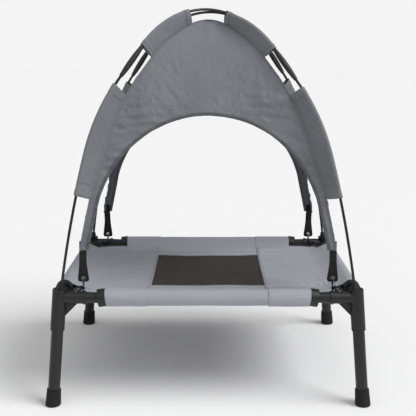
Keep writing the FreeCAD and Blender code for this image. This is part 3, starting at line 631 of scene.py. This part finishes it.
# ---------------------------------------------------------------- sleeves and corner seams
def in_corner(reach, height, sign_x, sign_y):
    return np.array([sign_x * reach * plan_cos, sign_y * reach * plan_sin, height])


def sleeve(name, label, start, end):
    """A flat pocket of cloth from the corner seam round the pole and back, open at both ends."""
    sign_x, sign_y = corners[name]
    bends = corner_bends[name]
    across = np.array([-sign_y * plan_sin, sign_x * plan_cos, 0.0])
    spots = np.linspace(start, end, 72)
    on_pole = np.array([in_corner(*pole_state(bends, s)[:2], sign_x, sign_y) for s in spots])
    at_seam = np.array([in_corner(*seam_at(s), sign_x, sign_y) for s in spots])
    gone = np.concatenate([[0.0], np.cumsum(np.linalg.norm(np.diff(on_pole, axis=0), axis=1))])
    to_end = np.minimum(gone, gone[-1] - gone)
    hem = 0.55 * (1 - ease(to_end, 11.0, 12.0))
    opened = 1.6 * np.exp(-to_end / 9.0)
    inward = at_seam - on_pole
    reach = np.linalg.norm(inward, axis=1, keepdims=True)
    inward /= reach
    seed = 5.0 * (sign_x + 2 * sign_y) + (60.0 if label == "upper" else 90.0)
    # Columns of points: in along one flap, round the pole, and back along the other flap.
    flap, curl = 15, 15
    columns = 2 * flap + curl
    grid = np.zeros((len(spots), columns, 3))
    for column in range(columns):
        if flap <= column < flap + curl:
            angle = -math.pi / 2 + math.pi * (column - flap + 0.5) / curl
            out, side = math.cos(angle), math.sin(angle)
            size = pocket_radius + hem
            grid[:, column] = on_pole - inward * (out * size)[:, None] + across * (side * size)[:, None]
        else:
            left = column < flap
            share = (1 - column / flap) if left else (column - flap - curl + 1) / flap
            side = -1 if left else 1
            spread = pocket_radius * (1 - share) ** 0.85 + 0.7 * share
            spread = spread + (opened * 1.3) * math.sin(math.pi * share) + hem
            ripple = 0.8 * folds(gone, np.full_like(gone, share * 30), 26.0, 24.0, seed + 2 * side)
            ripple += 0.3 * folds(gone, np.full_like(gone, share * 30), 9.0, 18.0, seed + 3 * side + 1)
            spread = spread + ripple * math.sin(math.pi * min(share, 1.0)) + 0.25
            # The flap bellies evenly to one side, as cloth does that is longer than its span.
            grid[:, column] = on_pole + inward * reach * share + across * (side * spread)[:, None]
    sheet = Cloth()
    sheet.add(grid, (on_pole + inward * reach * 0.4)[:, None, :] + np.zeros_like(grid))
    piece = sheet.piece(f"canopy_sleeve_{label}_{name}", canopy_oxford, sleeve_cloth)
    settle(piece, [f"{label}_sleeve_{name}"])
    # Stitches down both flaps and across each end.
    out = 0.35
    for column, sense in ((2, -1), (columns - 3, 1)):
        canopy_runs.append(resample(grid[4:-4, column] + across * sense * out, 260))
    for row in (6, 65):
        sideways = np.sign(np.arange(2, columns - 2) - columns // 2)[:, None] * across * out
        canopy_runs.append(resample(grid[row, 2:-2] + sideways, 90))


for name in corners:
    sleeve(name, "lower", station_low_mouth, station_low_top)
    sleeve(name, "upper", station_high_mouth, station_high_top)


def swept(line, radius, sides=10, flatten=1.0, up=(0, 0, 1)):
    """Rings of points round a line."""
    line = np.asarray(line, float)
    ahead = np.gradient(line, axis=0)
    ahead /= np.linalg.norm(ahead, axis=1, keepdims=True)
    side = np.cross(ahead, np.asarray(up, float))
    side /= np.linalg.norm(side, axis=1, keepdims=True)
    over = np.cross(side, ahead)
    angle = np.linspace(0, 2 * math.pi, sides, endpoint=False)
    radius = np.broadcast_to(np.asarray(radius, float), (len(line),))[:, None, None]
    cos, sin = np.cos(angle)[None, :, None], np.sin(angle)[None, :, None]
    return line[:, None, :] + radius * (side[:, None, :] * cos + flatten * over[:, None, :] * sin)


ridge = Cloth()
for name, (sign_x, sign_y) in corners.items():
    stations = np.linspace(station_leg_end, 3.999, 220)
    line = np.array([in_corner(*seam_at(s, 0.4), sign_x, sign_y) for s in stations])
    beside = np.array([-sign_y * plan_sin, sign_x * plan_cos, 0.0])
    rings = closed_ends(swept(line, 1.5, 10, 0.8, beside))
    ridge.add(rings, line[np.clip(np.arange(-1, 221), 0, 219)][:, None, :] + np.zeros_like(rings), ring=True)
seams = ridge.piece("canopy_corner_seams", canopy_oxford)
settle(seams, [])


# ---------------------------------------------------------------- mat cloth
def sag_at(x, y):
    """How far the mat's cloth lies below its rim, and the folds in it."""
    x, y = np.broadcast_arrays(np.asarray(x, float), np.asarray(y, float))
    span_x, span_y = corner_x - hem_tail, corner_y - hem_tail
    bowl = np.clip(1 - (x / span_x) ** 2, 0, 1) * np.clip(1 - (y / span_y) ** 2, 0, 1)
    drop = -mat_sag * bowl ** 0.8
    free = ease(span_y - np.abs(y), -4.0, 22.0) * ease(span_x - np.abs(x), -4.0, 22.0)
    side = ease(np.abs(x), window_half_x - 4, window_half_x + 20)
    pulled = 1.4 * side * folds(x, y, 140.0, 17.0, 12.0) + 0.6 * side * folds(x, y, 90.0, 8.0, 19.0)
    loose = 1.3 * folds(x, y, 80.0, 60.0, 7.0)
    drop = drop + free * (pulled + loose * 0.8)
    for sign_x, sign_y in corners.values():
        away_x, away_y = corner_x - 34.0 - sign_x * x, corner_y - 34.0 - sign_y * y
        away = np.hypot(away_x, away_y)
        turn = np.arctan2(away_y, away_x)
        fan = folds(turn * 10.0, np.zeros_like(turn), 0.9, 1.0, 31.0 + 4 * sign_x + sign_y)
        spread = np.exp(-away / 52.0) * ease(away, 6.0, 34.0)
        drop = drop + 2.9 * fan * spread * (away_x > -30) * ease(away_x + away_y, -10.0, 25.0)
    # One long crease runs across the right panel from the window's front corner to the rail.
    path = -(window_half_y - 12.0) - 0.0016 * (x - 150.0) ** 2 + 10.0 * ease(x, 190.0, 250.0)
    across = y - path
    crease = np.exp(-(across / 6.5) ** 2) - 0.8 * np.exp(-((across + 14.0) / 9.0) ** 2)
    drop = drop + 3.6 * crease * ease(x, 112.0, 132.0) * (1 - ease(x, 228.0, 246.0))
    for row in (corner_y - hem_tail - hem_row, second_hem_y):
        drop = drop - 0.45 * np.exp(-((np.abs(y) - row) / 1.8) ** 2)
    drop = drop + 0.5 * ease(np.abs(y), second_hem_y - 1.0, second_hem_y + 1.0)
    for row in seam_rows:
        drop = drop - 0.4 * np.exp(-((np.abs(x) - (window_half_x + row)) / 1.6) ** 2)
    return drop


def panel_rise(x):
    """How far a side panel stands over the strip that it laps."""
    return 1 - ease(np.abs(x), window_half_x + 3.0, window_half_x + 14.0)


def on_mat(x, y, lift=0.0, rise=0.0):
    """Points lift over the mat's cloth; rise is the step of the panel that they are on."""
    return np.stack([x, y, web_top + rise + sag_at(x, y) + lift], axis=-1)


def collar_plane(height):
    """X of the leaning end of the pocket on the long arm, from the height."""
    reach = 7.3
    face_x = corner_x - long_arm - collar_length / 2 - reach * math.cos(collar_lean)
    face_height = rail_height + reach * math.sin(collar_lean)
    return face_x + math.tan(collar_lean) * (height - face_height)


def short_collar_plane(height):
    return collar_plane(height) + long_arm - short_arm - corner_x + corner_y


def pocket_profile(radius, soft, count=44):
    """A pocket's outline: up off the web, over the rail and under it, back to the stitched line."""
    half_web = 1.2
    rise = math.atan2(radius - half_web, hem_tail)
    start = math.pi / 2 + rise
    turns = np.linspace(start, -start, count)
    arc = np.stack([radius * np.cos(turns), radius * np.sin(turns)], axis=1)
    slope = (arc[0, 1] - lift_off) / (arc[0, 0] + hem_tail)
    inward = np.linspace(-hem_tail - 4 * soft, arc[0, 0] - 0.5, 30)
    eased = soft * np.log1p(np.exp((inward + hem_tail) / soft))
    tucked = 0.7 * np.exp((inward[0] - inward) / 4.0)
    climb = np.column_stack([inward, lift_off + slope * (eased - eased[0]) - tucked])
    line = np.linspace(0, 1, 12)[1:, None]
    tip_low = np.array([-hem_tail, -2.6])
    return np.concatenate([climb, arc, arc[-1] * (1 - line) + tip_low * line])


def gather(distance, around, seed):
    """Small folds beside a collar, where the cloth is drawn in."""
    return folds(around, distance, 7.0, 46.0, seed) * np.exp(-distance / 26.0) * ease(distance, -1.0, 5.0)


def add_pocket(cloth, along_x, sign, start, stops, radius, soft, seed):
    """A hem pocket on one rail.

    stops gives the far end for each height; start is a number, or gives the near end likewise.
    """
    profile = pocket_profile(radius, soft)
    count = 90
    heights = rail_height + profile[:, 1]
    far = stops(heights)
    near = np.full_like(far, start) if np.isscalar(start) else start(heights)
    share = np.linspace(0, 1, count)[:, None]
    along = near[None, :] * (1 - share) + far[None, :] * share
    steps = np.linalg.norm(np.diff(profile, axis=0), axis=1)
    around = np.concatenate([[0], np.cumsum(steps)])[None, :] + np.zeros_like(along)
    out = profile / np.maximum(np.linalg.norm(profile, axis=1, keepdims=True), 1e-6)
    ends = np.abs(far[None, :] - along)
    lift = gather(ends, around, seed)
    if not np.isscalar(start):
        lift = lift + gather(np.abs(along - near[None, :]), around, seed + 2)
    lift = lift + 0.35 * folds(along, around, 60.0, 14.0, seed + 5)
    held = (profile[:, 0] < -14.0) & (profile[:, 1] < 10.0)
    lift = np.clip(lift, -1.0, 1.2) * np.where(held, ease(profile[:, 0], -hem_tail, -14.0), 1.0)[None, :]
    depth = profile[None, :, 0] + lift * out[None, :, 0]
    height = rail_height + profile[None, :, 1] + lift * out[None, :, 1]
    level = np.full_like(along, rail_height)
    if along_x:
        grid = np.stack([along, sign * (corner_y + depth), height], axis=2)
        axis = np.stack([along, np.full_like(along, sign * corner_y), level], axis=2)
    else:
        grid = np.stack([sign * (corner_x + depth), along, height], axis=2)
        axis = np.stack([np.full_like(along, sign * corner_x), along, level], axis=2)
    with_web = 1 - ease(profile[:, 0], -hem_tail, -15.0)
    grid[..., 2] += sag_at(grid[..., 0], grid[..., 1]) * with_web[None, :]
    cloth.add(grid, axis)


def cut_curve(count=80):
    """The corner cut in plan, from the long arm's collar round the corner to the short arm's."""
    first = np.array([corner_x - long_arm - collar_length, corner_y - cut_inset])
    knee = np.array([corner_x - cut_corner_x, corner_y - cut_corner_y])
    last = np.array([corner_x - cut_inset, corner_y - short_arm - collar_length])
    before = knee + (first - knee) * 0.16
    after = knee + (last - knee) * 0.6
    share = np.linspace(0, 1, 40)[:, None]
    bend = before * (1 - share) ** 2 + 2 * knee * share * (1 - share) + after * share ** 2
    return resample(np.concatenate([[first], bend, [last]]), count)


corner_bow = cut_curve()
mat_runs = []                          # lines of stitches on the mat


def side_limit(y):
    """X of the web's outer edge in the pocket or at the corner cut."""
    order = np.argsort(corner_bow[:, 1])
    return np.interp(np.abs(y), corner_bow[order, 1], corner_bow[order, 0], left=corner_x - cut_inset)


for sign, label in ((1, "right"), (-1, "left")):
    cloth = Cloth()
    tall = corner_y - cut_inset
    bend = corner_y - 58.0                 # the corner cuts lie beyond this
    ys = np.concatenate([
        np.linspace(-tall, -bend, 40)[:-1], np.linspace(-bend, bend, 110), np.linspace(bend, tall, 40)[1:]])
    share = np.linspace(0, 1, 64)[None, :]
    x = window_half_x * (1 - share) + side_limit(ys)[:, None] * share
    y = ys[:, None] + np.zeros_like(x)
    cloth.add(on_mat(sign * x, y, rise=panel_rise(x)), (sign * 180, 0, -1e5), np.stack([x, y], axis=2) * MM)
    for sense in (-1, 1):
        add_pocket(cloth, True, sense, sign * window_half_x, lambda h: sign * collar_plane(h), hem_radius,
                   hem_soft, 41.0 + 3 * sense + sign)
    add_pocket(cloth, False, sign, lambda h: -short_collar_plane(h), short_collar_plane, side_hem_radius,
               side_hem_soft, 61.0 + sign)
    panel = cloth.piece(f"mat_side_{label}", mat_oxford_painted_lit, mat_cloth)
    settle(panel, [f"mat_panel_{label}"])
    # Rows of stitches: the seam's two rows and the side hem's, then the double hem rows.
    span = np.linspace(-corner_y + hem_tail + 2.0, corner_y - hem_tail - 2.0, 500)
    for column in (window_half_x + seam_rows[0], window_half_x + seam_rows[1], corner_x - hem_tail - hem_row):
        along = np.full_like(span, sign * column)
        mat_runs.append(on_mat(along, span, thread_lift, panel_rise(along)))
    for row in (corner_y - hem_tail - hem_row, second_hem_y):
        for sense in (-1, 1):
            far = corner_x - hem_tail - 2.0 if row == second_hem_y else collar_plane(web_top)
            across = np.linspace(window_half_x + 2.0, far, 360)
            level_row = np.full(360, sense * row)
            mat_runs.append(on_mat(sign * across, level_row, thread_lift, panel_rise(across)))

for sense, label in ((1, "back"), (-1, "front")):
    cloth = Cloth()
    strip_half = window_half_x + panel_lap
    ys = np.linspace(window_half_y, corner_y - cut_inset, 50)[:, None]
    xs = np.linspace(-strip_half, strip_half, 110)[None, :]
    x, y = xs + np.zeros_like(ys), ys + np.zeros_like(xs)
    cloth.add(on_mat(x, sense * y), (0, sense * 150, -1e5), np.stack([x, y], axis=2) * MM)
    add_pocket(cloth, True, sense, -strip_half, lambda h: np.full_like(h, strip_half), strip_hem_radius,
               hem_soft, 81.0 + sense)
    strip = cloth.piece(f"mat_middle_{label}", mat_oxford_painted_lit, mat_cloth)
    settle(strip, [f"mat_strip_{label}"])
    across = np.linspace(-window_half_x + 1, window_half_x - 1, 500)
    for row in (window_half_y + 2.5, second_hem_y, corner_y - hem_tail - hem_row):
        mat_runs.append(on_mat(across, np.full(500, sense * row), thread_lift))

# Tape folded over each corner cut: its section, as distance from the cut edge and height.
tape_outline = [
    (corner_tape_width, 0.2), (corner_tape_width - 0.6, 0.8), (1.0, 0.9), (-0.2, 0.3), (-0.5, -0.5),
    (-0.2, -1.3), (1.0, -1.9), (corner_tape_width - 0.6, -1.8), (corner_tape_width, -1.2)]
turn = np.gradient(corner_bow, axis=0)
turn /= np.linalg.norm(turn, axis=1, keepdims=True)
inwards = np.stack([turn[:, 1], -turn[:, 0]], axis=1)
if inwards[30] @ np.array([1.0, 1.0]) > 0:
    inwards = -inwards
corner_tapes = Cloth()
for sign_x, sign_y in corners.values():
    rows = []
    for inset, lift in tape_outline:
        flat = corner_bow + inwards * inset
        rows.append(on_mat(sign_x * flat[:, 0], sign_y * flat[:, 1], lift))
    rings = closed_ends(np.stack(rows, axis=1))
    centre = rings.mean(axis=1, keepdims=True) + np.zeros_like(rings)
    corner_tapes.add(rings, centre, ring=True)
    middle = corner_bow + inwards * (corner_tape_width - 1.4)
    mat_runs.append(on_mat(sign_x * middle[:, 0], sign_y * middle[:, 1], 0.95))
tapes = corner_tapes.piece("mat_corner_tapes", corner_tape)
settle(tapes, ["mat_corner_bindings"])


# ---------------------------------------------------------------- geometry node trees
def new_tree(name, sizes, with_geometry):
    """A geometry node group with named size inputs; returns it with its input and output nodes."""
    tree = bpy.data.node_groups.new(name, "GeometryNodeTree")
    if with_geometry:
        tree.interface.new_socket("Geometry", in_out="INPUT", socket_type="NodeSocketGeometry")
    for label in sizes:
        tree.interface.new_socket(label, in_out="INPUT", socket_type="NodeSocketFloat")
    tree.interface.new_socket("Material", in_out="INPUT", socket_type="NodeSocketMaterial")
    tree.interface.new_socket("Geometry", in_out="OUTPUT", socket_type="NodeSocketGeometry")
    return tree, tree.nodes.new("NodeGroupInput"), tree.nodes.new("NodeGroupOutput")


def grown(name, tree, sizes, material, mesh=None):
    """A new piece made by a tree from the given sizes, as plain mesh."""
    piece = bpy.data.objects.new(name, mesh or bpy.data.meshes.new(name))
    bpy.context.scene.collection.objects.link(piece)
    modifier = piece.modifiers.new("grown", "NODES")
    modifier.node_group = tree
    values = dict(sizes, Material=material)
    for socket in tree.interface.items_tree:
        if socket.in_out == "INPUT" and socket.name in values:
            modifier[socket.identifier] = values[socket.name]
    return made_plain(piece)


def end_tree(tree, ending, geometry, material):
    real = add_node(tree, "GeometryNodeRealizeInstances", {0: geometry})
    painted = add_node(tree, "GeometryNodeSetMaterial", {"Geometry": real.outputs[0], "Material": material})
    tree.links.new(painted.outputs[0], ending.inputs[0])


def stitch_tree():
    """Short rounded stitches end to end along every line of the mesh."""
    tree, given, ending = new_tree("stitches", ["Pitch", "Length", "Thread radius"], True)
    line = add_node(tree, "GeometryNodeMeshToCurve", {0: given.outputs["Geometry"]})
    spaced = add_node(tree, "GeometryNodeResampleCurve", {
        "Curve": line.outputs[0], "Length": given.outputs["Pitch"]}, mode="LENGTH")
    ahead = add_node(tree, "GeometryNodeInputTangent")
    turned = add_node(tree, "FunctionNodeAlignRotationToVector", {"Vector": ahead.outputs[0]}, axis="Z")
    half = math_node(tree, "MULTIPLY", given.outputs["Length"], 0.5)
    low = add_node(tree, "ShaderNodeCombineXYZ", {"Z": math_node(tree, "MULTIPLY", half, -1.0)})
    high = add_node(tree, "ShaderNodeCombineXYZ", {"Z": half})
    core = add_node(tree, "GeometryNodeCurvePrimitiveLine", {"Start": low.outputs[0], "End": high.outputs[0]})
    cut = add_node(tree, "GeometryNodeResampleCurve", {"Curve": core.outputs[0], "Count": 4})
    along = add_node(tree, "GeometryNodeSplineParameter")
    rounded = math_node(tree, "SINE", math_node(tree, "MULTIPLY", along.outputs[0], math.pi))
    fuller = math_node(tree, "MULTIPLY_ADD", rounded, 0.6, 0.4)
    shaped = add_node(tree, "GeometryNodeSetCurveRadius", {"Curve": cut.outputs[0], "Radius": fuller})
    ring = add_node(tree, "GeometryNodeCurvePrimitiveCircle", {
        "Resolution": 5, "Radius": given.outputs["Thread radius"]}, mode="RADIUS")
    stitch = add_node(tree, "GeometryNodeCurveToMesh", {
        "Curve": shaped.outputs[0], "Profile Curve": ring.outputs[0], "Fill Caps": True})
    laid = add_node(tree, "GeometryNodeInstanceOnPoints", {
        "Points": spaced.outputs[0], "Instance": stitch.outputs[0], "Rotation": turned.outputs[0]})
    end_tree(tree, ending, laid.outputs[0], given.outputs["Material"])
    return tree


def lines_mesh(name, runs):
    """A mesh of edges only, one broken line for each run of points."""
    points, edges = [], []
    for run in runs:
        first = len(points)
        points.extend((np.asarray(run) * MM).tolist())
        edges.extend((first + i, first + i + 1) for i in range(len(run) - 1))
    mesh = bpy.data.meshes.new(name)
    mesh.from_pydata(points, edges, [])
    return mesh


def weave_tree():
    """Yarns laid both ways on a pitch, each passing over and under the next."""
    tree, given, ending = new_tree(
        "woven_mesh", ["Width", "Length", "Pitch", "Yarn width", "Yarn height"], False)
    pitch = given.outputs["Pitch"]
    joined = add_node(tree, "GeometryNodeJoinGeometry")
    for axis, other, run, spread, sense in (
            ("X", "Y", "Width", "Length", 1.0), ("Y", "X", "Length", "Width", -1.0)):
        half_run = math_node(tree, "MULTIPLY", given.outputs[run], 0.5)
        start = add_node(tree, "ShaderNodeCombineXYZ", {axis: math_node(tree, "MULTIPLY", half_run, -1.0)})
        stop = add_node(tree, "ShaderNodeCombineXYZ", {axis: half_run})
        yarn = add_node(tree, "GeometryNodeCurvePrimitiveLine", {
            "Start": start.outputs[0], "End": stop.outputs[0]})
        fine = add_node(tree, "GeometryNodeResampleCurve", {
            "Curve": yarn.outputs[0], "Length": math_node(tree, "MULTIPLY", pitch, 0.5)}, mode="LENGTH")
        # As many yarns as fit the spread, laid out from its middle.
        whole = math_node(tree, "FLOOR", math_node(tree, "DIVIDE", given.outputs[spread], pitch))
        back = math_node(tree, "MULTIPLY", math_node(tree, "MULTIPLY", whole, pitch), -0.5)
        first = add_node(tree, "ShaderNodeCombineXYZ", {other: back})
        step = add_node(tree, "ShaderNodeCombineXYZ", {other: pitch})
        row = add_node(tree, "GeometryNodeMeshLine", {
            "Count": math_node(tree, "ADD", whole, 1.0), "Start Location": first.outputs[0],
            "Offset": step.outputs[0]}, mode="OFFSET")
        placed = add_node(tree, "GeometryNodeInstanceOnPoints", {
            "Points": row.outputs[0], "Instance": fine.outputs[0]})
        real = add_node(tree, "GeometryNodeRealizeInstances", {0: placed.outputs[0]})
        # Each yarn rises over one crossing and dips under the next.
        here = add_node(tree, "GeometryNodeInputPosition")
        split = add_node(tree, "ShaderNodeSeparateXYZ", {0: here.outputs[0]})
        waves = []
        for part in ("X", "Y"):
            turns = math_node(tree, "DIVIDE", split.outputs[part], pitch)
            waves.append(math_node(tree, "COSINE", math_node(tree, "MULTIPLY", turns, math.pi)))
        amount = math_node(tree, "MULTIPLY", given.outputs["Yarn height"], 0.45 * sense)
        rise = math_node(tree, "MULTIPLY", math_node(tree, "MULTIPLY", *waves), amount)
        shift = add_node(tree, "ShaderNodeCombineXYZ", {"Z": rise})
        waved = add_node(tree, "GeometryNodeSetPosition", {
            "Geometry": real.outputs[0], "Offset": shift.outputs[0]})
        upright = add_node(tree, "GeometryNodeSetCurveNormal", {"Curve": waved.outputs[0]}, mode="Z_UP")
        outline = add_node(tree, "GeometryNodeCurvePrimitiveQuadrilateral", {
            "Width": given.outputs["Yarn width"], "Height": given.outputs["Yarn height"]})
        solid = add_node(tree, "GeometryNodeCurveToMesh", {
            "Curve": upright.outputs[0], "Profile Curve": outline.outputs[0], "Fill Caps": True})
        tree.links.new(solid.outputs[0], joined.inputs[0])
    end_tree(tree, ending, joined.outputs[0], given.outputs["Material"])
    return tree


stitching = stitch_tree()
stitch_sizes = {"Pitch": 0.0036, "Length": 0.003, "Thread radius": 0.00035}
canopy_lines = lines_mesh("canopy_stitches", canopy_runs)
canopy_stitches = grown("canopy_stitches", stitching, stitch_sizes, canopy_thread, canopy_lines)
settle(canopy_stitches, [])
mat_lines = lines_mesh("mat_stitches", mat_runs)
mat_stitches = grown("mat_stitches", stitching, stitch_sizes, mat_thread, mat_lines)
settle(mat_stitches, [])

# The mesh's yarns are 1.5 mm apart; they are laid 3 mm apart, the finest that shows.
window_width, window_length = 2 * (window_half_x + 1) * MM, 2 * (window_half_y + 4) * MM
window_sizes = {
    "Width": window_width, "Length": window_length, "Pitch": mesh_pitch * MM,
    "Yarn width": 1.95 * MM, "Yarn height": 0.35 * MM}
window = grown("mat_window_mesh", weave_tree(), window_sizes, coated_yarn)
yarns = vertex_points(window.data)
yarns[:, 2] += (web_top - 1.9 + sag_at(yarns[:, 0] / MM, yarns[:, 1] / MM)) * MM
move_vertices(window.data, yarns)
settle(window, ["mat_mesh_window"])


# ---------------------------------------------------------------- straps and eyelets
def strap(name):
    """A webbing tab from inside the canopy leg, flared over the eyelet, with a hole for it."""
    sign_x, sign_y = corners[name]
    top, flare, low = leg_end_height + 16.0, eyelet_height + 27.0, eyelet_height - 6.6
    half = [
        (6.6, top), (6.8, flare + 6), (7.1, flare), (8.4, flare - 12), (10.0, low + 10.0), (10.3, low + 4.0),
        (9.6, low + 1.8), (7.3, low)]
    outline = half + [(-x, z) for x, z in reversed(half)]
    turns = np.linspace(0, 2 * math.pi, 24, endpoint=False)
    hole = [(strap_hole * math.cos(a), eyelet_height + strap_hole * math.sin(a)) for a in turns]
    work = bmesh.new()
    loops = []
    for points in (outline, hole):
        ring = [work.verts.new(((sign_x * (strap_x + x)) * MM, 0.0, z * MM)) for x, z in points]
        loops += [work.edges.new((ring[i], ring[(i + 1) % len(ring)])) for i in range(len(ring))]
    bmesh.ops.triangle_fill(work, edges=loops, use_beauty=True)
    mesh = bpy.data.meshes.new("strap")
    work.to_mesh(mesh)
    work.free()
    layer = mesh.uv_layers.new(name="pattern")
    for loop in mesh.loops:
        at = mesh.vertices[loop.vertex_index].co
        layer.data[loop.index].uv = (at.z, at.x)
    piece = add_piece(f"corner_webbing_{name}", mesh, elastic_webbing)
    wall = piece.modifiers.new("wall", "SOLIDIFY")
    wall.thickness = strap_thickness * MM
    wall.offset = 0.0
    edge = piece.modifiers.new("edge", "BEVEL")
    edge.width = 0.5 * MM
    edge.segments = 2
    edge.limit_method = "ANGLE"
    edge.angle_limit = math.radians(50)
    made_plain(piece)
    # The top of the tab is tucked behind the canopy's front or back face.
    points = vertex_points(piece.data)
    heights = points[:, 2] / MM
    tucked = ease(heights, leg_end_height - 9.0, leg_end_height - 1.0)
    behind = np.interp(heights, faces[0].height, faces[0].depth) - 3.4
    points[:, 1] += sign_y * (strap_y * (1 - tucked) + behind * tucked) * MM
    piece.data.polygons.foreach_set("use_smooth", [False] * len(piece.data.polygons))
    move_vertices(piece.data, points)
    settle(piece, [f"corner_strap_{name}"])


for name in corners:
    strap(name)

eyelets = Cloth()
# The rolled rim of each side and the barrel between them: radius and depth of one turned section.
rim_outline = [
    (2.5, -0.9), (2.6, -1.25), (3.0, -1.5), (3.6, -1.5), (4.2, -1.3), (4.5, -1.0), (4.2, -0.9), (3.0, -0.9),
    (3.0, 0.9), (4.2, 0.9), (4.5, 1.0), (4.2, 1.3), (3.6, 1.5), (3.0, 1.5), (2.6, 1.25), (2.5, 0.9)]
turns = np.linspace(0, 2 * math.pi, 41)


def eyelet_ring(sign_x, sign_y, radius, depth):
    """A ring of points round one eyelet's axis."""
    return np.stack([
        sign_x * strap_x + radius * np.cos(turns), np.full_like(turns, sign_y * strap_y + depth),
        eyelet_height + radius * np.sin(turns)], axis=1)


for sign_x, sign_y in corners.values():
    grid = np.stack([eyelet_ring(sign_x, sign_y, *point) for point in rim_outline], axis=1)
    middle = eyelet_ring(sign_x, sign_y, eyelet_middle, 0.0)
    eyelets.add(grid, middle[:, None, :] + np.zeros_like(grid), ring=True)
rings = eyelets.piece("strap_eyelet_rings", nickel)
work = bmesh.new()
work.from_mesh(rings.data)
bmesh.ops.remove_doubles(work, verts=work.verts, dist=0.00001)
bmesh.ops.recalc_face_normals(work, faces=work.faces)
work.to_mesh(rings.data)
work.free()
settle(rings, ["strap_eyelets"])


# ---------------------------------------------------------------- camera, floor and light
camera_data = bpy.data.cameras.new("camera")
camera_data.sensor_width = 36.0
camera_data.lens = 64.54
camera = bpy.data.objects.new("camera", camera_data)
camera.location = (0.0, -1.510, 0.6482)
camera.rotation_euler = (math.radians(90.0 - 11.83), 0.0, 0.0)
bpy.context.scene.collection.objects.link(camera)
bpy.context.scene.camera = camera

floor_mesh = bpy.data.meshes.new("floor")
floor_mesh.from_pydata([(-30, -30, 0), (30, -30, 0), (30, 30, 0), (-30, 30, 0)], [], [(0, 1, 2, 3)])
floor_paint, _, _ = start_material("pale_floor", "#f6f6f6", 0.9, Specular_IOR_Level=0.1)
floor = add_piece("floor", floor_mesh, floor_paint)


def soft_sun(name, towards, spread, strength):
    """Even light from a direction, as soft as its spread in degrees."""
    data = bpy.data.lights.new(name, "SUN")
    data.angle, data.energy = math.radians(spread), strength
    light = bpy.data.objects.new(name, data)
    light.rotation_euler = Vector(towards).to_track_quat("Z", "Y").to_euler()
    bpy.context.scene.collection.objects.link(light)


soft_sun("key", (0.62, -0.24, 0.72), 36.0, 2.0)
soft_sun("top", (0.1, -0.42, 0.9), 80.0, 1.0)

world = bpy.data.worlds.new("studio")
world.use_nodes = True
sky = world.node_tree
backdrop = sky.nodes["Background"]
backdrop.inputs["Color"].default_value = (1, 1, 1, 1)
backdrop.inputs["Strength"].default_value = 0.25
seen = add_node(sky, "ShaderNodeBackground", {"Color": (1, 1, 1, 1), "Strength": 0.905})
path = add_node(sky, "ShaderNodeLightPath")
either = add_node(sky, "ShaderNodeMixShader", {
    0: path.outputs["Is Camera Ray"], 1: backdrop.outputs[0], 2: seen.outputs[0]})
sky.links.new(either.outputs[0], sky.nodes["World Output"].inputs[0])
bpy.context.scene.world = world
bpy.context.scene.view_settings.view_transform = "Standard"
